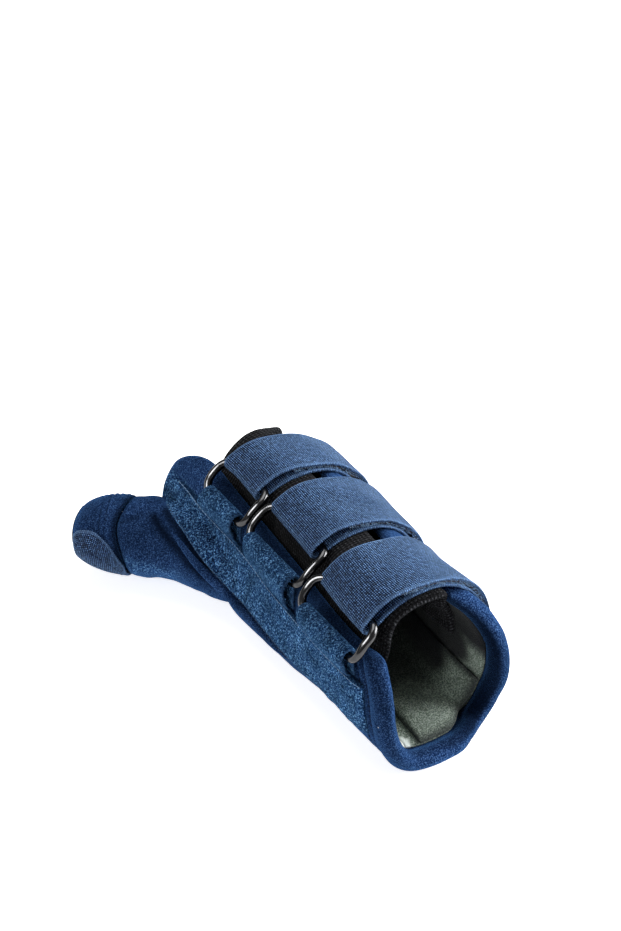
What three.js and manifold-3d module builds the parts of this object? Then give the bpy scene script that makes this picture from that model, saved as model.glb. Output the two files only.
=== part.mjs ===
// Wrist and thumb brace for a right hand, lying on a table with its straps up.
// Millimetres, +Z up, +Y from the forearm towards the fingers, -X the thumb side.
import * as THREE from "three";
import { mergeVertices } from "three/addons/utils/BufferGeometryUtils.js";
import Module from "manifold-3d";

const wasm = await Module();
wasm.setup();

// Driving dimensions
const FOAM = 6; // velour, foam and velour of the sleeve wall
const LINING = 1.5;
const PLUSH = 2; // loop-pile fabric of the side panel and the ring tabs
const WEBBING = 1.6; // elastic of the straps
const HOOK = 1;
const SPACER = 3.6; // knitted tongue
const POCKET = 3;
const GAP = 0.35; // between pieces that are sewn or lie on each other
const LOOSE = 0.7; // the same for the lining and its pocket
const WIRE = 4; // diameter of the ring wire
const RING_ROOM = 6; // how much longer a ring is inside than its strap is wide
const RING_SLIP = 1.5; // how far the rings have slipped towards the forearm
const THUMB_WALL = 5;
const ORIGIN = { x: 0.71, y: 113.62 }; // middle of the underside, in the frame of the tables below

// Sleeve: one row for each section across the forearm and hand.
// The angles run anticlockwise from +X, seen from the forearm end, to the two edges of the slot on top.
const SECTIONS = [
  { y: 0, midX: 24, midZ: 39, halfW: 34, halfH: 39, slotLeft: 148, slotRight: 14 },
  { y: 45, midX: 20.5, midZ: 38, halfW: 31, halfH: 38, slotLeft: 152, slotRight: 30 },
  { y: 102, midX: 25, midZ: 36, halfW: 32, halfH: 36, slotLeft: 147, slotRight: 32 },
  { y: 150, midX: 26.5, midZ: 36, halfW: 32.5, halfH: 36.5, slotLeft: 144, slotRight: 32 },
  { y: 175, midX: 24, midZ: 36, halfW: 34.5, halfH: 36.5, slotLeft: 139, slotRight: 31 },
  { y: 200, midX: 21, midZ: 36, halfW: 37, halfH: 35.5, slotLeft: 130, slotRight: 30 },
];
const SQUARENESS = { upper: 2.25, lower: 2.8 }; // exponents of the rounded section, 2 being an ellipse

// Where the sleeve ends, by the share of the way round from the left slot edge to the right one.
const ENDS = [
  { around: 0, near: 17, far: 191 },
  { around: 0.1, near: 6, far: 198 },
  { around: 0.25, near: 0.5, far: 200 },
  { around: 0.4, near: 0, far: 198 },
  { around: 0.54, near: 2, far: 195 },
  { around: 0.68, near: 8.5, far: 192 },
  { around: 0.8, near: 11.5, far: 190 },
  { around: 0.91, near: 8.5, far: 187 },
  { around: 1, near: 11, far: 184 },
];

// Straps: one row each, from the forearm to the hand.
// ringTop and ringLow are the angles of a ring's two long bars, and their heights are off the wall's middle.
const STRAPS = [
  { name: "forearm", y: 45.5, width: 38, ringTop: 129, topHeight: 8.6, ringLow: 151, lowHeight: 10 },
  { name: "wrist", y: 102.5, width: 38, ringTop: 124, topHeight: 8.6, ringLow: 145, lowHeight: 10 },
  { name: "hand", y: 151.5, width: 30, ringTop: 125, topHeight: 8.6, ringLow: 144, lowHeight: 10 },
];
const STRAP_ANCHOR = -28; // angle where the lower layer is sewn to the right wall
const STRAP_END = -14; // angle where the upper layer ends

// Thumb: one row for each section along the thumb, wide across it and high in Z, to the outside of the wall.
const THUMB = [
  { x: 16, y: 150, z: 22, wide: 35, high: 20 },
  { x: -2, y: 166, z: 22.3, wide: 28, high: 20 },
  { x: -17.5, y: 180.5, z: 23.2, wide: 22.4, high: 20 },
  { x: -32, y: 194, z: 24, wide: 20, high: 19.5 },
  { x: -45, y: 206, z: 24.6, wide: 19, high: 19 },
  { x: -58, y: 217, z: 25.4, wide: 15, high: 14 },
];
const THUMB_GROOVE = 0.66; // share of the thumb's length where its strap begins
const THUMB_BAND = 4; // thickness of the thumb strap
const THUMB_NECK = 2; // wall of the thumb sleeve under that strap

const COLOURS = {
  velour: { color: 0x16305f, roughness: 0.95, metalness: 0 },
  plush: { color: 0x235083, roughness: 1, metalness: 0 },
  webbing: { color: 0x2f5288, roughness: 0.8, metalness: 0 },
  knit: { color: 0x17171a, roughness: 0.95, metalness: 0 },
  lining: { color: 0x7d8a7c, roughness: 0.95, metalness: 0 },
  hook: { color: 0x141c33, roughness: 0.7, metalness: 0 },
  wire: { color: 0x2b2b2d, roughness: 0.25, metalness: 1 },
};

// A smooth curve through a column of a table.
function column(table, along, key, at) {
  const last = table.length - 1;
  let i = 0;
  while (i < last - 1 && at > table[i + 1][along]) i++;
  const slope = (k) => {
    const a = table[Math.max(k - 1, 0)];
    const b = table[Math.min(k + 1, last)];
    return (b[key] - a[key]) / (b[along] - a[along]);
  };
  const span = table[i + 1][along] - table[i][along];
  const t = THREE.MathUtils.clamp((at - table[i][along]) / span, 0, 1);
  const s = t * t * (3 - 2 * t);
  const lead = slope(i) * span * t * (1 - t) * (1 - t);
  const trail = slope(i + 1) * span * t * t * (1 - t);
  return THREE.MathUtils.lerp(table[i][key], table[i + 1][key], s) + lead - trail;
}

const sectionAt = (key, y) => column(SECTIONS, "y", key, y);

// The middle of the sleeve's wall at an angle, flattened where it rests on the table.
function sectionMiddle(degrees, y) {
  const angle = THREE.MathUtils.degToRad(degrees);
  const square = Math.sin(angle) > 0 ? SQUARENESS.upper : SQUARENESS.lower;
  const round = (c) => Math.sign(c) * Math.abs(c) ** (2 / square);
  const x = sectionAt("midX", y) + sectionAt("halfW", y) * round(Math.cos(angle));
  const z = sectionAt("midZ", y) + sectionAt("halfH", y) * round(Math.sin(angle));
  return new THREE.Vector2(x, Math.max(z, FOAM / 2));
}

// A point at a height off the wall's middle, outwards being positive.
function sectionPoint(degrees, y, height) {
  const step = 0.5;
  const along = sectionMiddle(degrees + step, y).sub(sectionMiddle(degrees - step, y)).normalize();
  const middle = sectionMiddle(degrees, y);
  return new THREE.Vector3(middle.x + along.y * height, y, middle.y - along.x * height);
}

// A point on the sleeve by its shares of the way round and along.
function sleevePoint(around, along, height) {
  const near = column(ENDS, "around", "near", around);
  const far = column(ENDS, "around", "far", around);
  const y = THREE.MathUtils.lerp(near, far, along);
  const left = sectionAt("slotLeft", y);
  const right = sectionAt("slotRight", y) + 360;
  return sectionPoint(THREE.MathUtils.lerp(left, right, around), y, height);
}

// Shares from 0 to 1 with close steps at both ends, for an edge that is rounded over `edge`.
function shares(count, edge) {
  const inner = Array.from({ length: count + 1 }, (_, i) => edge + ((1 - 2 * edge) * i) / count);
  return [0, edge * 0.3, ...inner, 1 - edge * 0.3, 1];
}

// How full a wall is near an edge: thin on the edge itself, full at `edge` away.
function roundOver(share, edge) {
  const inside = Math.min(share, 1 - share, edge) / edge;
  return Math.sqrt(Math.max(1 - (1 - inside) ** 2, 0.12));
}

// A closed wall on both sides of a surface point(u, v, height), with its middle at the height middle(u, v).
// The wall closes on itself round u if `loop` is set.
function wall(point, us, vs, middle, half, loop = false) {
  const position = [];
  const columns = us.length;
  for (const side of [1, -1]) {
    for (const v of vs) {
      for (const u of us) {
        const p = point(u, v, middle(u, v) + side * half(u, v));
        position.push(p.x, p.y, p.z);
      }
    }
  }
  const sheet = columns * vs.length;
  const index = [];
  const quad = (a, b, c, d) => index.push(a, b, c, a, c, d);
  const around = loop ? columns : columns - 1;
  for (let j = 0; j < vs.length - 1; j++) {
    for (let i = 0; i < around; i++) {
      const a = j * columns + i;
      const b = j * columns + ((i + 1) % columns);
      quad(a, b, b + columns, a + columns);
      quad(sheet + a, sheet + a + columns, sheet + b + columns, sheet + b);
    }
  }
  const border = [];
  for (let i = 0; i < around; i++) {
    const next = (i + 1) % columns;
    border.push([i, next]);
    border.push([sheet - columns + next, sheet - columns + i]);
  }
  if (!loop) {
    for (let j = 0; j < vs.length - 1; j++) {
      border.push([(j + 1) * columns, j * columns]);
      border.push([(j + 1) * columns - 1, (j + 2) * columns - 1]);
    }
  }
  for (const [a, b] of border) quad(b, a, sheet + a, sheet + b);
  return facingOut(position, index);
}

// A geometry whose faces point outwards.
function facingOut(position, index) {
  const corner = (i) => new THREE.Vector3().fromArray(position, 3 * i);
  let volume = 0;
  for (let i = 0; i < index.length; i += 3) {
    const [a, b, c] = index.slice(i, i + 3).map(corner);
    volume += a.dot(b.cross(c));
  }
  if (volume < 0) {
    for (let i = 0; i < index.length; i += 3) {
      [index[i], index[i + 1]] = [index[i + 1], index[i]];
    }
  }
  const geometry = new THREE.BufferGeometry();
  geometry.setAttribute("position", new THREE.Float32BufferAttribute(position, 3));
  geometry.setIndex(index);
  return geometry;
}

// Boolean cuts
function solid(geometry) {
  const bare = new THREE.BufferGeometry();
  bare.setAttribute("position", geometry.getAttribute("position"));
  bare.setIndex(geometry.index);
  const merged = mergeVertices(bare, 1e-4);
  return new wasm.Manifold(
    new wasm.Mesh({
      numProp: 3,
      vertProperties: merged.getAttribute("position").array,
      triVerts: new Uint32Array(merged.index.array),
    }),
  );
}

function cut(geometry, ...tools) {
  let body = solid(geometry);
  for (const tool of tools) body = body.subtract(solid(tool));
  const largest = body.decompose().sort((a, b) => b.volume() - a.volume())[0];
  const mesh = largest.getMesh();
  const made = new THREE.BufferGeometry();
  made.setAttribute("position", new THREE.BufferAttribute(mesh.vertProperties, 3));
  made.setIndex(new THREE.BufferAttribute(mesh.triVerts, 1));
  return made;
}

// Thumb
const thumbSpine = new THREE.CatmullRomCurve3(THUMB.map((row) => new THREE.Vector3(row.x, row.y, row.z)));

function thumbSize(key, t) {
  const rows = THUMB.map((row, i) => ({ ...row, t: i / (THUMB.length - 1) }));
  return column(rows, "t", key, t);
}

// A point round the thumb: 0 degrees is to its right, looking towards the tip, and 90 is up.
function thumbPoint(degrees, t, height) {
  const angle = THREE.MathUtils.degToRad(degrees);
  const middle = thumbSpine.getPoint(t);
  const ahead = thumbSpine.getTangent(t).setZ(0).normalize();
  const right = new THREE.Vector3(ahead.y, -ahead.x, 0);
  const wide = (thumbSize("wide", t) + height) * Math.cos(angle);
  const high = (thumbSize("high", t) + height) * Math.sin(angle);
  return middle.addScaledVector(right, wide).setZ(middle.z + high);
}

function turns(count) {
  return Array.from({ length: count }, (_, i) => (360 * i) / count);
}

// A plug that fills the thumb's bore, for cutting the hole where the thumb leaves the sleeve.
function thumbPlug(from, to, height, sides) {
  const steps = 8;
  const position = [];
  const index = [];
  for (let j = 0; j <= steps; j++) {
    for (const degrees of turns(sides)) {
      const p = thumbPoint(degrees, THREE.MathUtils.lerp(from, to, j / steps), height);
      position.push(p.x, p.y, p.z);
    }
  }
  for (let j = 0; j < steps; j++) {
    for (let i = 0; i < sides; i++) {
      const a = j * sides + i;
      const b = j * sides + ((i + 1) % sides);
      index.push(a, b, b + sides, a, b + sides, a + sides);
    }
  }
  for (let i = 1; i < sides - 1; i++) {
    index.push(0, i + 1, i);
    index.push(steps * sides, steps * sides + i, steps * sides + i + 1);
  }
  return facingOut(position, index);
}

// The sleeve's whole outside as a plug, for trimming what is sewn onto it.
function sleevePlug(height, sides) {
  const stations = [-20, 0, 45, 102, 126, 150, 175, 200, 230];
  const position = [];
  const index = [];
  for (const y of stations) {
    for (const degrees of turns(sides)) {
      const p = sectionPoint(degrees, y, height);
      position.push(p.x, p.y, p.z);
    }
  }
  for (let j = 0; j < stations.length - 1; j++) {
    for (let i = 0; i < sides; i++) {
      const a = j * sides + i;
      const b = j * sides + ((i + 1) % sides);
      index.push(a, b, b + sides, a, b + sides, a + sides);
    }
  }
  for (let i = 1; i < sides - 1; i++) {
    const end = (stations.length - 1) * sides;
    index.push(0, i + 1, i, end, end + i, end + i + 1);
  }
  return facingOut(position, index);
}

// Straps and their rings
const LOWER = FOAM / 2 + GAP + WEBBING / 2; // height of a strap's lower layer
const UPPER = LOWER + WEBBING + HOOK + 2 * GAP; // and of its upper layer, on the hook patch
const STEPS = { lower: 13, fold: 6, upper: 15, tab: 4 };

// Points round a bar at `radius`, from the side facing the wrist to the side facing away.
// `side` is 1 to pass on the thumb's side of the bar and -1 to pass on the other.
function roundBar(bar, degrees, radius, side) {
  const out = sectionPoint(degrees, bar.y, 1).sub(sectionPoint(degrees, bar.y, 0));
  const beside = new THREE.Vector3(-out.z, 0, out.x).multiplyScalar(side);
  return Array.from({ length: STEPS.fold + 1 }, (_, i) => {
    const turn = (Math.PI * i) / STEPS.fold;
    return bar
      .clone()
      .addScaledVector(out, -radius * Math.cos(turn))
      .addScaledVector(beside, radius * Math.sin(turn));
  });
}

const ringBar = (strap, end) =>
  end === "top"
    ? sectionPoint(strap.ringTop, strap.y, strap.topHeight)
    : sectionPoint(strap.ringLow, strap.y, strap.lowHeight);

// Height of the upper layer: up at the ring, down on the hook patch, and standing off at the right shoulder.
function upperHeight(strap, degrees) {
  const atRing = strap.topHeight + WIRE / 2 + GAP + WEBBING / 2;
  const fromRing = THREE.MathUtils.smoothstep(strap.ringTop - degrees, 0, 42);
  const shoulder = 1 - Math.min(Math.abs(degrees - 22) / 34, 1);
  return THREE.MathUtils.lerp(atRing, UPPER, fromRing) + 2.2 * shoulder * shoulder * (3 - 2 * shoulder);
}

// The line that a strap follows at y, from where it is sewn on, through its ring and back to its free end.
function strapLine(strap, y) {
  const clear = 9; // degrees kept clear of the bar on each side
  const line = [];
  for (let i = 0; i <= STEPS.lower; i++) {
    const degrees = THREE.MathUtils.lerp(STRAP_ANCHOR, strap.ringTop - clear, i / STEPS.lower);
    line.push(sectionPoint(degrees, y, LOWER));
  }
  line.push(...roundBar(ringBar(strap, "top"), strap.ringTop, WIRE / 2 + GAP + WEBBING / 2, 1));
  for (let i = 0; i <= STEPS.upper; i++) {
    const degrees = THREE.MathUtils.lerp(strap.ringTop - clear, STRAP_END, i / STEPS.upper);
    line.push(sectionPoint(degrees, y, upperHeight(strap, degrees)));
  }
  return line;
}

// The line of a tab: up the side, round the ring's lower bar and back down.
function tabLine(strap, y) {
  const lay = FOAM / 2 + GAP + PLUSH / 2;
  const under = strap.lowHeight - WIRE / 2 - GAP - PLUSH / 2;
  const base = column(PANEL, "y", "top", y) - 1.8;
  const clear = 4;
  const inner = [];
  const outer = [];
  for (let i = 0; i <= STEPS.tab; i++) {
    const share = i / STEPS.tab;
    const degrees = THREE.MathUtils.lerp(base, strap.ringLow + clear, share);
    inner.push(sectionPoint(degrees, y, THREE.MathUtils.lerp(lay, under, share)));
    const proud = THREE.MathUtils.lerp(lay + PLUSH + GAP, strap.lowHeight + WIRE / 2 + GAP + PLUSH / 2, share ** 0.6);
    outer.unshift(sectionPoint(degrees, y, proud));
  }
  const wrap = roundBar(ringBar(strap, "low"), strap.ringLow, WIRE / 2 + GAP + PLUSH / 2, -1);
  return [...inner, ...wrap, ...outer];
}

// A flat band along a line(y), `width` wide about `y`.
function band(line, y, width, thickness, vs) {
  const lines = new Map(vs.map((v) => [v, line(y + width * (v - 0.5))]));
  const count = lines.get(vs[0]).length;
  const us = Array.from({ length: count }, (_, i) => i);
  const point = (u, v, height) => {
    const points = lines.get(v);
    const ahead = points[Math.min(u + 1, count - 1)].clone().sub(points[Math.max(u - 1, 0)]);
    const normal = new THREE.Vector3(-ahead.z, 0, ahead.x).normalize();
    const p = points[u].clone().addScaledVector(normal, height);
    return p.setY(y + width * (v - 0.5));
  };
  return wall(point, us, vs, () => 0, () => thickness / 2);
}

// A ring of round wire: a rounded rectangle through the tab and the strap, bowed a little outwards.
function ring(strap) {
  const sides = 8;
  const corner = 4.5;
  const cornerSteps = 4;
  const bow = 1.6;
  const top = ringBar(strap, "top");
  const low = ringBar(strap, "low");
  const up = top.clone().sub(low);
  const tall = up.length() / 2;
  up.normalize();
  const long = (strap.width + RING_ROOM + WIRE) / 2;
  const out = new THREE.Vector3(-up.z, 0, up.x);
  const middle = top.clone().add(low).multiplyScalar(0.5);
  const line = [];
  for (let quarter = 0; quarter < 4; quarter++) {
    for (let i = 0; i <= cornerSteps; i++) {
      const turn = (Math.PI / 2) * (quarter + i / cornerSteps);
      const alongY = Math.sign(Math.cos(Math.PI / 4 + (quarter * Math.PI) / 2)) * (long - corner) + corner * Math.cos(turn);
      const alongUp = Math.sign(Math.sin(Math.PI / 4 + (quarter * Math.PI) / 2)) * (tall - corner) + corner * Math.sin(turn);
      const lift = bow * (1 - (alongUp / tall) ** 2);
      line.push(
        middle
          .clone()
          .addScaledVector(up, alongUp)
          .addScaledVector(out, lift)
          .setY(strap.y - RING_SLIP + alongY),
      );
    }
  }
  const position = [];
  const index = [];
  line.forEach((p, i) => {
    const ahead = line[(i + 1) % line.length].clone().sub(line.at(i - 1)).normalize();
    const across = ahead.clone().cross(out).normalize();
    const raised = across.clone().cross(ahead);
    for (let k = 0; k < sides; k++) {
      const turn = (2 * Math.PI * k) / sides;
      const q = p
        .clone()
        .addScaledVector(across, (WIRE / 2) * Math.cos(turn))
        .addScaledVector(raised, (WIRE / 2) * Math.sin(turn));
      position.push(q.x, q.y, q.z);
      const next = ((i + 1) % line.length) * sides;
      const a = i * sides + k;
      const b = i * sides + ((k + 1) % sides);
      index.push(a, b, next + ((k + 1) % sides), a, next + ((k + 1) % sides), next + k);
    }
  });
  return facingOut(position, index);
}

// The hook patch under a strap's upper layer.
function hookPatch(strap) {
  const from = strap.ringTop - 14;
  const to = 12;
  const line = (y) =>
    Array.from({ length: 12 }, (_, i) => {
      const degrees = THREE.MathUtils.lerp(from, to, i / 11);
      return sectionPoint(degrees, y, upperHeight(strap, degrees) - (WEBBING + HOOK) / 2 - GAP);
    });
  return band(line, strap.y, strap.width - 2, HOOK, [0, 0.5, 1]);
}

// Sleeve, lining and what lies on them
const EDGE = 0.03; // share of the sleeve over which its edges are rounded

function sleeveShell() {
  const steps = [0, 0.006, 0.018, 0.032, 0.046, 0.058, 0.1];
  for (let i = 1; i <= 11; i++) steps.push(0.1 + (0.87 * i) / 11);
  steps.push(0.99, 1);
  const hem = (v) => 1.4 * (1 - THREE.MathUtils.smoothstep(v, 0.03, 0.058)); // the rim is rolled inwards
  const middle = (_, v) => -hem(v);
  const half = (u, v) => (FOAM / 2 + hem(v)) * roundOver(u, EDGE) * roundOver(v, EDGE);
  return wall(sleevePoint, shares(24, EDGE), steps, middle, half);
}

function sleeveLining() {
  const inset = { around: 0.04, along: 0.06 };
  const point = (u, v, height) =>
    sleevePoint(
      THREE.MathUtils.lerp(inset.around, 1 - inset.around, u),
      THREE.MathUtils.lerp(inset.along, 1 - inset.along, v),
      height,
    );
  const middle = () => -FOAM / 2 - LOOSE - LINING / 2;
  return wall(point, shares(20, EDGE), shares(9, EDGE), middle, () => LINING / 2);
}

// The padded pocket inside, over the stay.
function stayPocket() {
  const span = { from: 0.47, to: 0.8, near: 0.08, far: 0.9 };
  const point = (u, v, height) =>
    sleevePoint(
      THREE.MathUtils.lerp(span.from, span.to, u),
      THREE.MathUtils.lerp(span.near, span.far, v),
      height,
    );
  const base = -FOAM / 2 - LINING - 2 * LOOSE;
  const full = (u, v) => (POCKET / 2) * (0.35 + 0.65 * roundOver(u, 0.12) * roundOver(v, 0.06));
  return wall(point, shares(6, 0.12), shares(6, 0.06), (u, v) => base - full(u, v), full);
}

// The plush panel on the thumb's side, by the angles of its two long edges.
const PANEL = [
  { y: 15, top: 181, low: 212 },
  { y: 45, top: 177.5, low: 216 },
  { y: 102, top: 169.5, low: 219 },
  { y: 128, top: 165.5, low: 210 },
  { y: 140, top: 163.5, low: 197 },
  { y: 152, top: 161, low: 186 },
  { y: 166, top: 157, low: 180 },
  { y: 198, top: 149, low: 176 },
];

function panelPoint(u, v, height) {
  const y = THREE.MathUtils.lerp(PANEL[0].y, PANEL.at(-1).y - 3 * (1 - u), v);
  const degrees = THREE.MathUtils.lerp(column(PANEL, "y", "top", y), column(PANEL, "y", "low", y), u);
  return sectionPoint(degrees, y, height);
}

function sidePanel() {
  const half = (u, v) => (PLUSH / 2) * roundOver(u, 0.06) * roundOver(v, 0.015);
  return wall(panelPoint, shares(6, 0.06), shares(14, 0.015), () => FOAM / 2 + GAP + PLUSH / 2, half);
}

// The room that the panel takes, for trimming the thumb under it.
function panelRoom() {
  const reach = FOAM / 2 + 2 * GAP + PLUSH;
  const point = (u, v, height) =>
    panelPoint(THREE.MathUtils.lerp(-0.03, 1.03, u), THREE.MathUtils.lerp(-0.01, 1.01, v), height);
  return wall(point, shares(6, 0.06), shares(14, 0.015), () => reach - 4, () => 4);
}

// The tongue: tucked inside both edges of the slot and raised between them.
const TONGUE = { near: 21, far: 181, left: 172, right: 8, crown: 1.2 };

function tongue() {
  const tucked = -FOAM / 2 - LINING - 2 * LOOSE - SPACER / 2;
  const point = (u, v, height) => {
    const degrees = THREE.MathUtils.lerp(TONGUE.left, TONGUE.right, u);
    const rise = THREE.MathUtils.smoothstep(Math.min(u, 1 - u), 0.13, 0.36);
    const level = THREE.MathUtils.lerp(tucked, TONGUE.crown, rise);
    return sectionPoint(degrees, THREE.MathUtils.lerp(TONGUE.near, TONGUE.far, v), level + height);
  };
  const half = (u, v) => (SPACER / 2) * roundOver(u, EDGE) * roundOver(v, EDGE);
  return wall(point, shares(16, EDGE), shares(6, EDGE), () => 0, half);
}

// Thumb pieces
function thumbSleeve() {
  const steps = [0.1, 0.2, 0.3, 0.4, 0.5, 0.56, 0.61, 0.64, THUMB_GROOVE, THUMB_GROOVE + 0.02, 0.8, 0.94];
  const neck = -THUMB_BAND - GAP;
  const pinch = (t) => THREE.MathUtils.smoothstep(t, 0.57, THUMB_GROOVE);
  const isNeck = (t) => t > THUMB_GROOVE;
  const outside = (t) => (isNeck(t) ? neck : -1.6 * pinch(t));
  const inside = (t) => (isNeck(t) ? neck - THUMB_NECK : -THUMB_WALL - 1.35 * pinch(t));
  const middle = (_, t) => (outside(t) + inside(t)) / 2;
  const half = (_, t) => (outside(t) - inside(t)) / 2;
  return wall(thumbPoint, turns(24), steps, middle, half, true);
}

function thumbStrap() {
  const point = (u, v, height) => thumbPoint(u, THREE.MathUtils.lerp(THUMB_GROOVE + 0.025, 1, v), height);
  const half = (_, v) => (THUMB_BAND / 2) * roundOver(v, 0.25);
  return wall(point, turns(24), shares(3, 0.25), () => -THUMB_BAND / 2, half, true);
}

// The webbing end of the thumb strap, with its slanting, rounded tip up on the front.
function thumbHookTab() {
  const span = { near: 0.715, far: 0.96, tipNear: 208, tipFar: 148, foot: 262 };
  const point = (u, v, height) => {
    const slant = THREE.MathUtils.lerp(span.tipNear, span.tipFar, v ** 0.7);
    const corner = 22 * Math.max((v - 0.7) / 0.3, 0) ** 2;
    const degrees = THREE.MathUtils.lerp(slant + corner, span.foot, u);
    return thumbPoint(degrees, THREE.MathUtils.lerp(span.near, span.far, v), height);
  };
  const us = Array.from({ length: 7 }, (_, i) => i / 6);
  const vs = Array.from({ length: 9 }, (_, i) => i / 8);
  return wall(point, us, vs, () => GAP + WEBBING / 2, () => WEBBING / 2);
}

// Assembly
function piece(name, geometry, look) {
  const mesh = new THREE.Mesh(geometry, new THREE.MeshStandardMaterial(COLOURS[look]));
  mesh.name = name;
  return mesh;
}

const bore = thumbPlug(0, 0.5, -THUMB_WALL, 24);
const brace = new THREE.Group();
brace.add(
  piece("sleeve_shell", cut(sleeveShell(), bore), "velour"),
  piece("sleeve_lining", cut(sleeveLining(), bore), "lining"),
  piece("stay_pocket", stayPocket(), "lining"),
  piece("side_panel", sidePanel(), "plush"),
  piece("tongue", tongue(), "knit"),
  piece("thumb_sleeve", cut(thumbSleeve(), sleevePlug(FOAM / 2 + GAP, 60), panelRoom()), "velour"),
  piece("thumb_strap", thumbStrap(), "velour"),
  piece("thumb_hook_tab", thumbHookTab(), "webbing"),
);
for (const strap of STRAPS) {
  const lineOf = (y) => strapLine(strap, y);
  const tabOf = (y) => tabLine(strap, y);
  brace.add(
    piece(`strap_${strap.name}`, band(lineOf, strap.y, strap.width, WEBBING, [0, 0.5, 1]), "webbing"),
    piece(`hook_${strap.name}`, hookPatch(strap), "hook"),
    piece(`ring_${strap.name}`, ring(strap), "wire"),
    piece(`tab_${strap.name}`, band(tabOf, strap.y, strap.width - 2, PLUSH, [0, 0.5, 1]), "plush"),
  );
}
brace.position.set(-ORIGIN.x, -ORIGIN.y, 0);

const part = new THREE.Group();
part.add(brace);
export default part;
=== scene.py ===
# Wrist and thumb brace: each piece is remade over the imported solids, in millimetres, then set in metres
import math

import bpy
import numpy as np
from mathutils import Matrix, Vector


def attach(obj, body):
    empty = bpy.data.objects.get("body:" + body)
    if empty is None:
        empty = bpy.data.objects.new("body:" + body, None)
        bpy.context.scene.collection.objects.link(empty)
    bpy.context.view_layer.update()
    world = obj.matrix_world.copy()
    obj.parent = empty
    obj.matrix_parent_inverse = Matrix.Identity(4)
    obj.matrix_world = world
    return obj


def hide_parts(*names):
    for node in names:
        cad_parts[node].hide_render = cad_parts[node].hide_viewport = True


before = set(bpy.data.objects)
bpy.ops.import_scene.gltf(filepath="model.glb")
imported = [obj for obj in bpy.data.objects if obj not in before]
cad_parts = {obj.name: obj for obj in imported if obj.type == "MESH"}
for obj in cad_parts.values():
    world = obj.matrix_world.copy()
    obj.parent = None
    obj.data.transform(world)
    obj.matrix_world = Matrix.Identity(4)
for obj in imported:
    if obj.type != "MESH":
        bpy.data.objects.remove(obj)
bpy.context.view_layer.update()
print("frame loaded")

# The sleeve's rule, as the solids follow it. Angles run anticlockwise from +X, seen from the forearm end.
sleeve = {
    "origin": [0.71, 113.62, 0.0],  # middle of the underside in the tables' frame
    "wall": 6.0,
    "girth": 205.0,
    "squareUpper": 2.25,
    "squareLower": 2.8,
    "settle": 1.0,  # how softly the underside goes flat
    "slopeStep": 0.8,  # degrees to either side over which the wall's slope is taken
    "sections": {
        "y": [0, 45, 102, 150, 175, 200],
        "midX": [24, 20.5, 25, 26.5, 24, 21],
        "midZ": [39, 38, 36, 36, 36, 36],
        "halfW": [34, 31, 32, 32.5, 34.5, 37],
        "halfH": [39, 38, 36, 36.5, 36.5, 35.5],
        "slotLeft": [148, 147, 141, 137, 127, 118],
        "slotRight": [14, 30, 32, 32, 31, 30],
    },
    "ends": {
        "around": [0, 0.1, 0.25, 0.4, 0.54, 0.61, 0.68, 0.8, 0.88, 0.95, 1],
        "near": [17, 6, 0.5, -1.0, -2.2, 2.8, 6.6, 7.2, 5.8, 15.5, 25],
        "far": [194, 199, 200.2, 198, 195, 193.5, 192, 190, 189, 186, 182],
    },
    "corner": 19.0,  # rounding of the two far corners beside the slot
    "flap": 38.0,  # how much further up the right side reaches, in degrees, under the straps
    "flapWide": 0.2,
    "flapBend": 1.3,
    "swell": {  # foam beside the thumb
        "angle": 214,
        "angleWide": 24,
        "y": [0, 52, 70, 85, 100, 120, 138, 152, 168, 200],
        "much": [0, 0, 2.2, 4.8, 6.4, 8.4, 9.0, 5.5, 0.5, 0],
    },
}
halfWall = sleeve["wall"] / 2


# Curves, walls and small shaping helpers

def curveThrough(table, along, key, at):
    xs = np.asarray(table[along], float)
    ys = np.asarray(table[key], float)
    at = np.asarray(at, float)
    last = len(xs) - 1
    before = np.maximum(np.arange(last + 1) - 1, 0)
    after = np.minimum(np.arange(last + 1) + 1, last)
    slopes = (ys[after] - ys[before]) / (xs[after] - xs[before])
    i = np.clip(np.searchsorted(xs, at) - 1, 0, last - 1)
    span = xs[i + 1] - xs[i]
    t = np.clip((at - xs[i]) / span, 0, 1)
    lead = slopes[i] * span * t * (1 - t) ** 2
    trail = slopes[i + 1] * span * t * t * (1 - t)
    return ys[i] + (ys[i + 1] - ys[i]) * t * t * (3 - 2 * t) + lead - trail


def blendTo(a, b, share):
    return a + (b - a) * share


def ease(x, start, end):
    t = np.clip((np.asarray(x, float) - start) / (end - start), 0, 1)
    return t * t * (3 - 2 * t)


def fade(x, start, end):
    return 1 - ease(x, start, end)


def dip(x, at, width):
    return np.exp(-(((x - at) / width) ** 2))


def together(*values):
    return np.broadcast_arrays(*(np.asarray(value, float) for value in values))


# across and upward shares of a point on a rounded square, by its angle
def onSquare(degrees, upper, lower):
    angle = np.radians(degrees)
    square = np.where(np.sin(angle) > 0, upper, lower)
    return [np.sign(part) * np.abs(part) ** (2 / square) for part in (np.cos(angle), np.sin(angle))]


def sectionAt(key, y):
    return curveThrough(sleeve["sections"], "y", key, y)


def wallMiddle(degrees, y):
    across, upward = onSquare(degrees, sleeve["squareUpper"], sleeve["squareLower"])
    x = sectionAt("midX", y) + sectionAt("halfW", y) * across
    z = sectionAt("midZ", y) + sectionAt("halfH", y) * upward
    settle = sleeve["settle"]
    return x, halfWall + settle * np.logaddexp(0, (z - halfWall) / settle)


# how many times a step from the section's centre goes into the way to the middle of the wall
def wallReach(dx, dz, y):
    square = np.where(dz > 0, sleeve["squareUpper"], sleeve["squareLower"])
    across = np.abs(dx / sectionAt("halfW", y))
    upward = np.abs(dz / sectionAt("halfH", y))
    return (across**square + upward**square) ** (-1 / square)


def swellAt(degrees, y):
    swell = sleeve["swell"]
    return curveThrough(swell, "y", "much", y) * dip(degrees, swell["angle"], swell["angleWide"])


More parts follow.
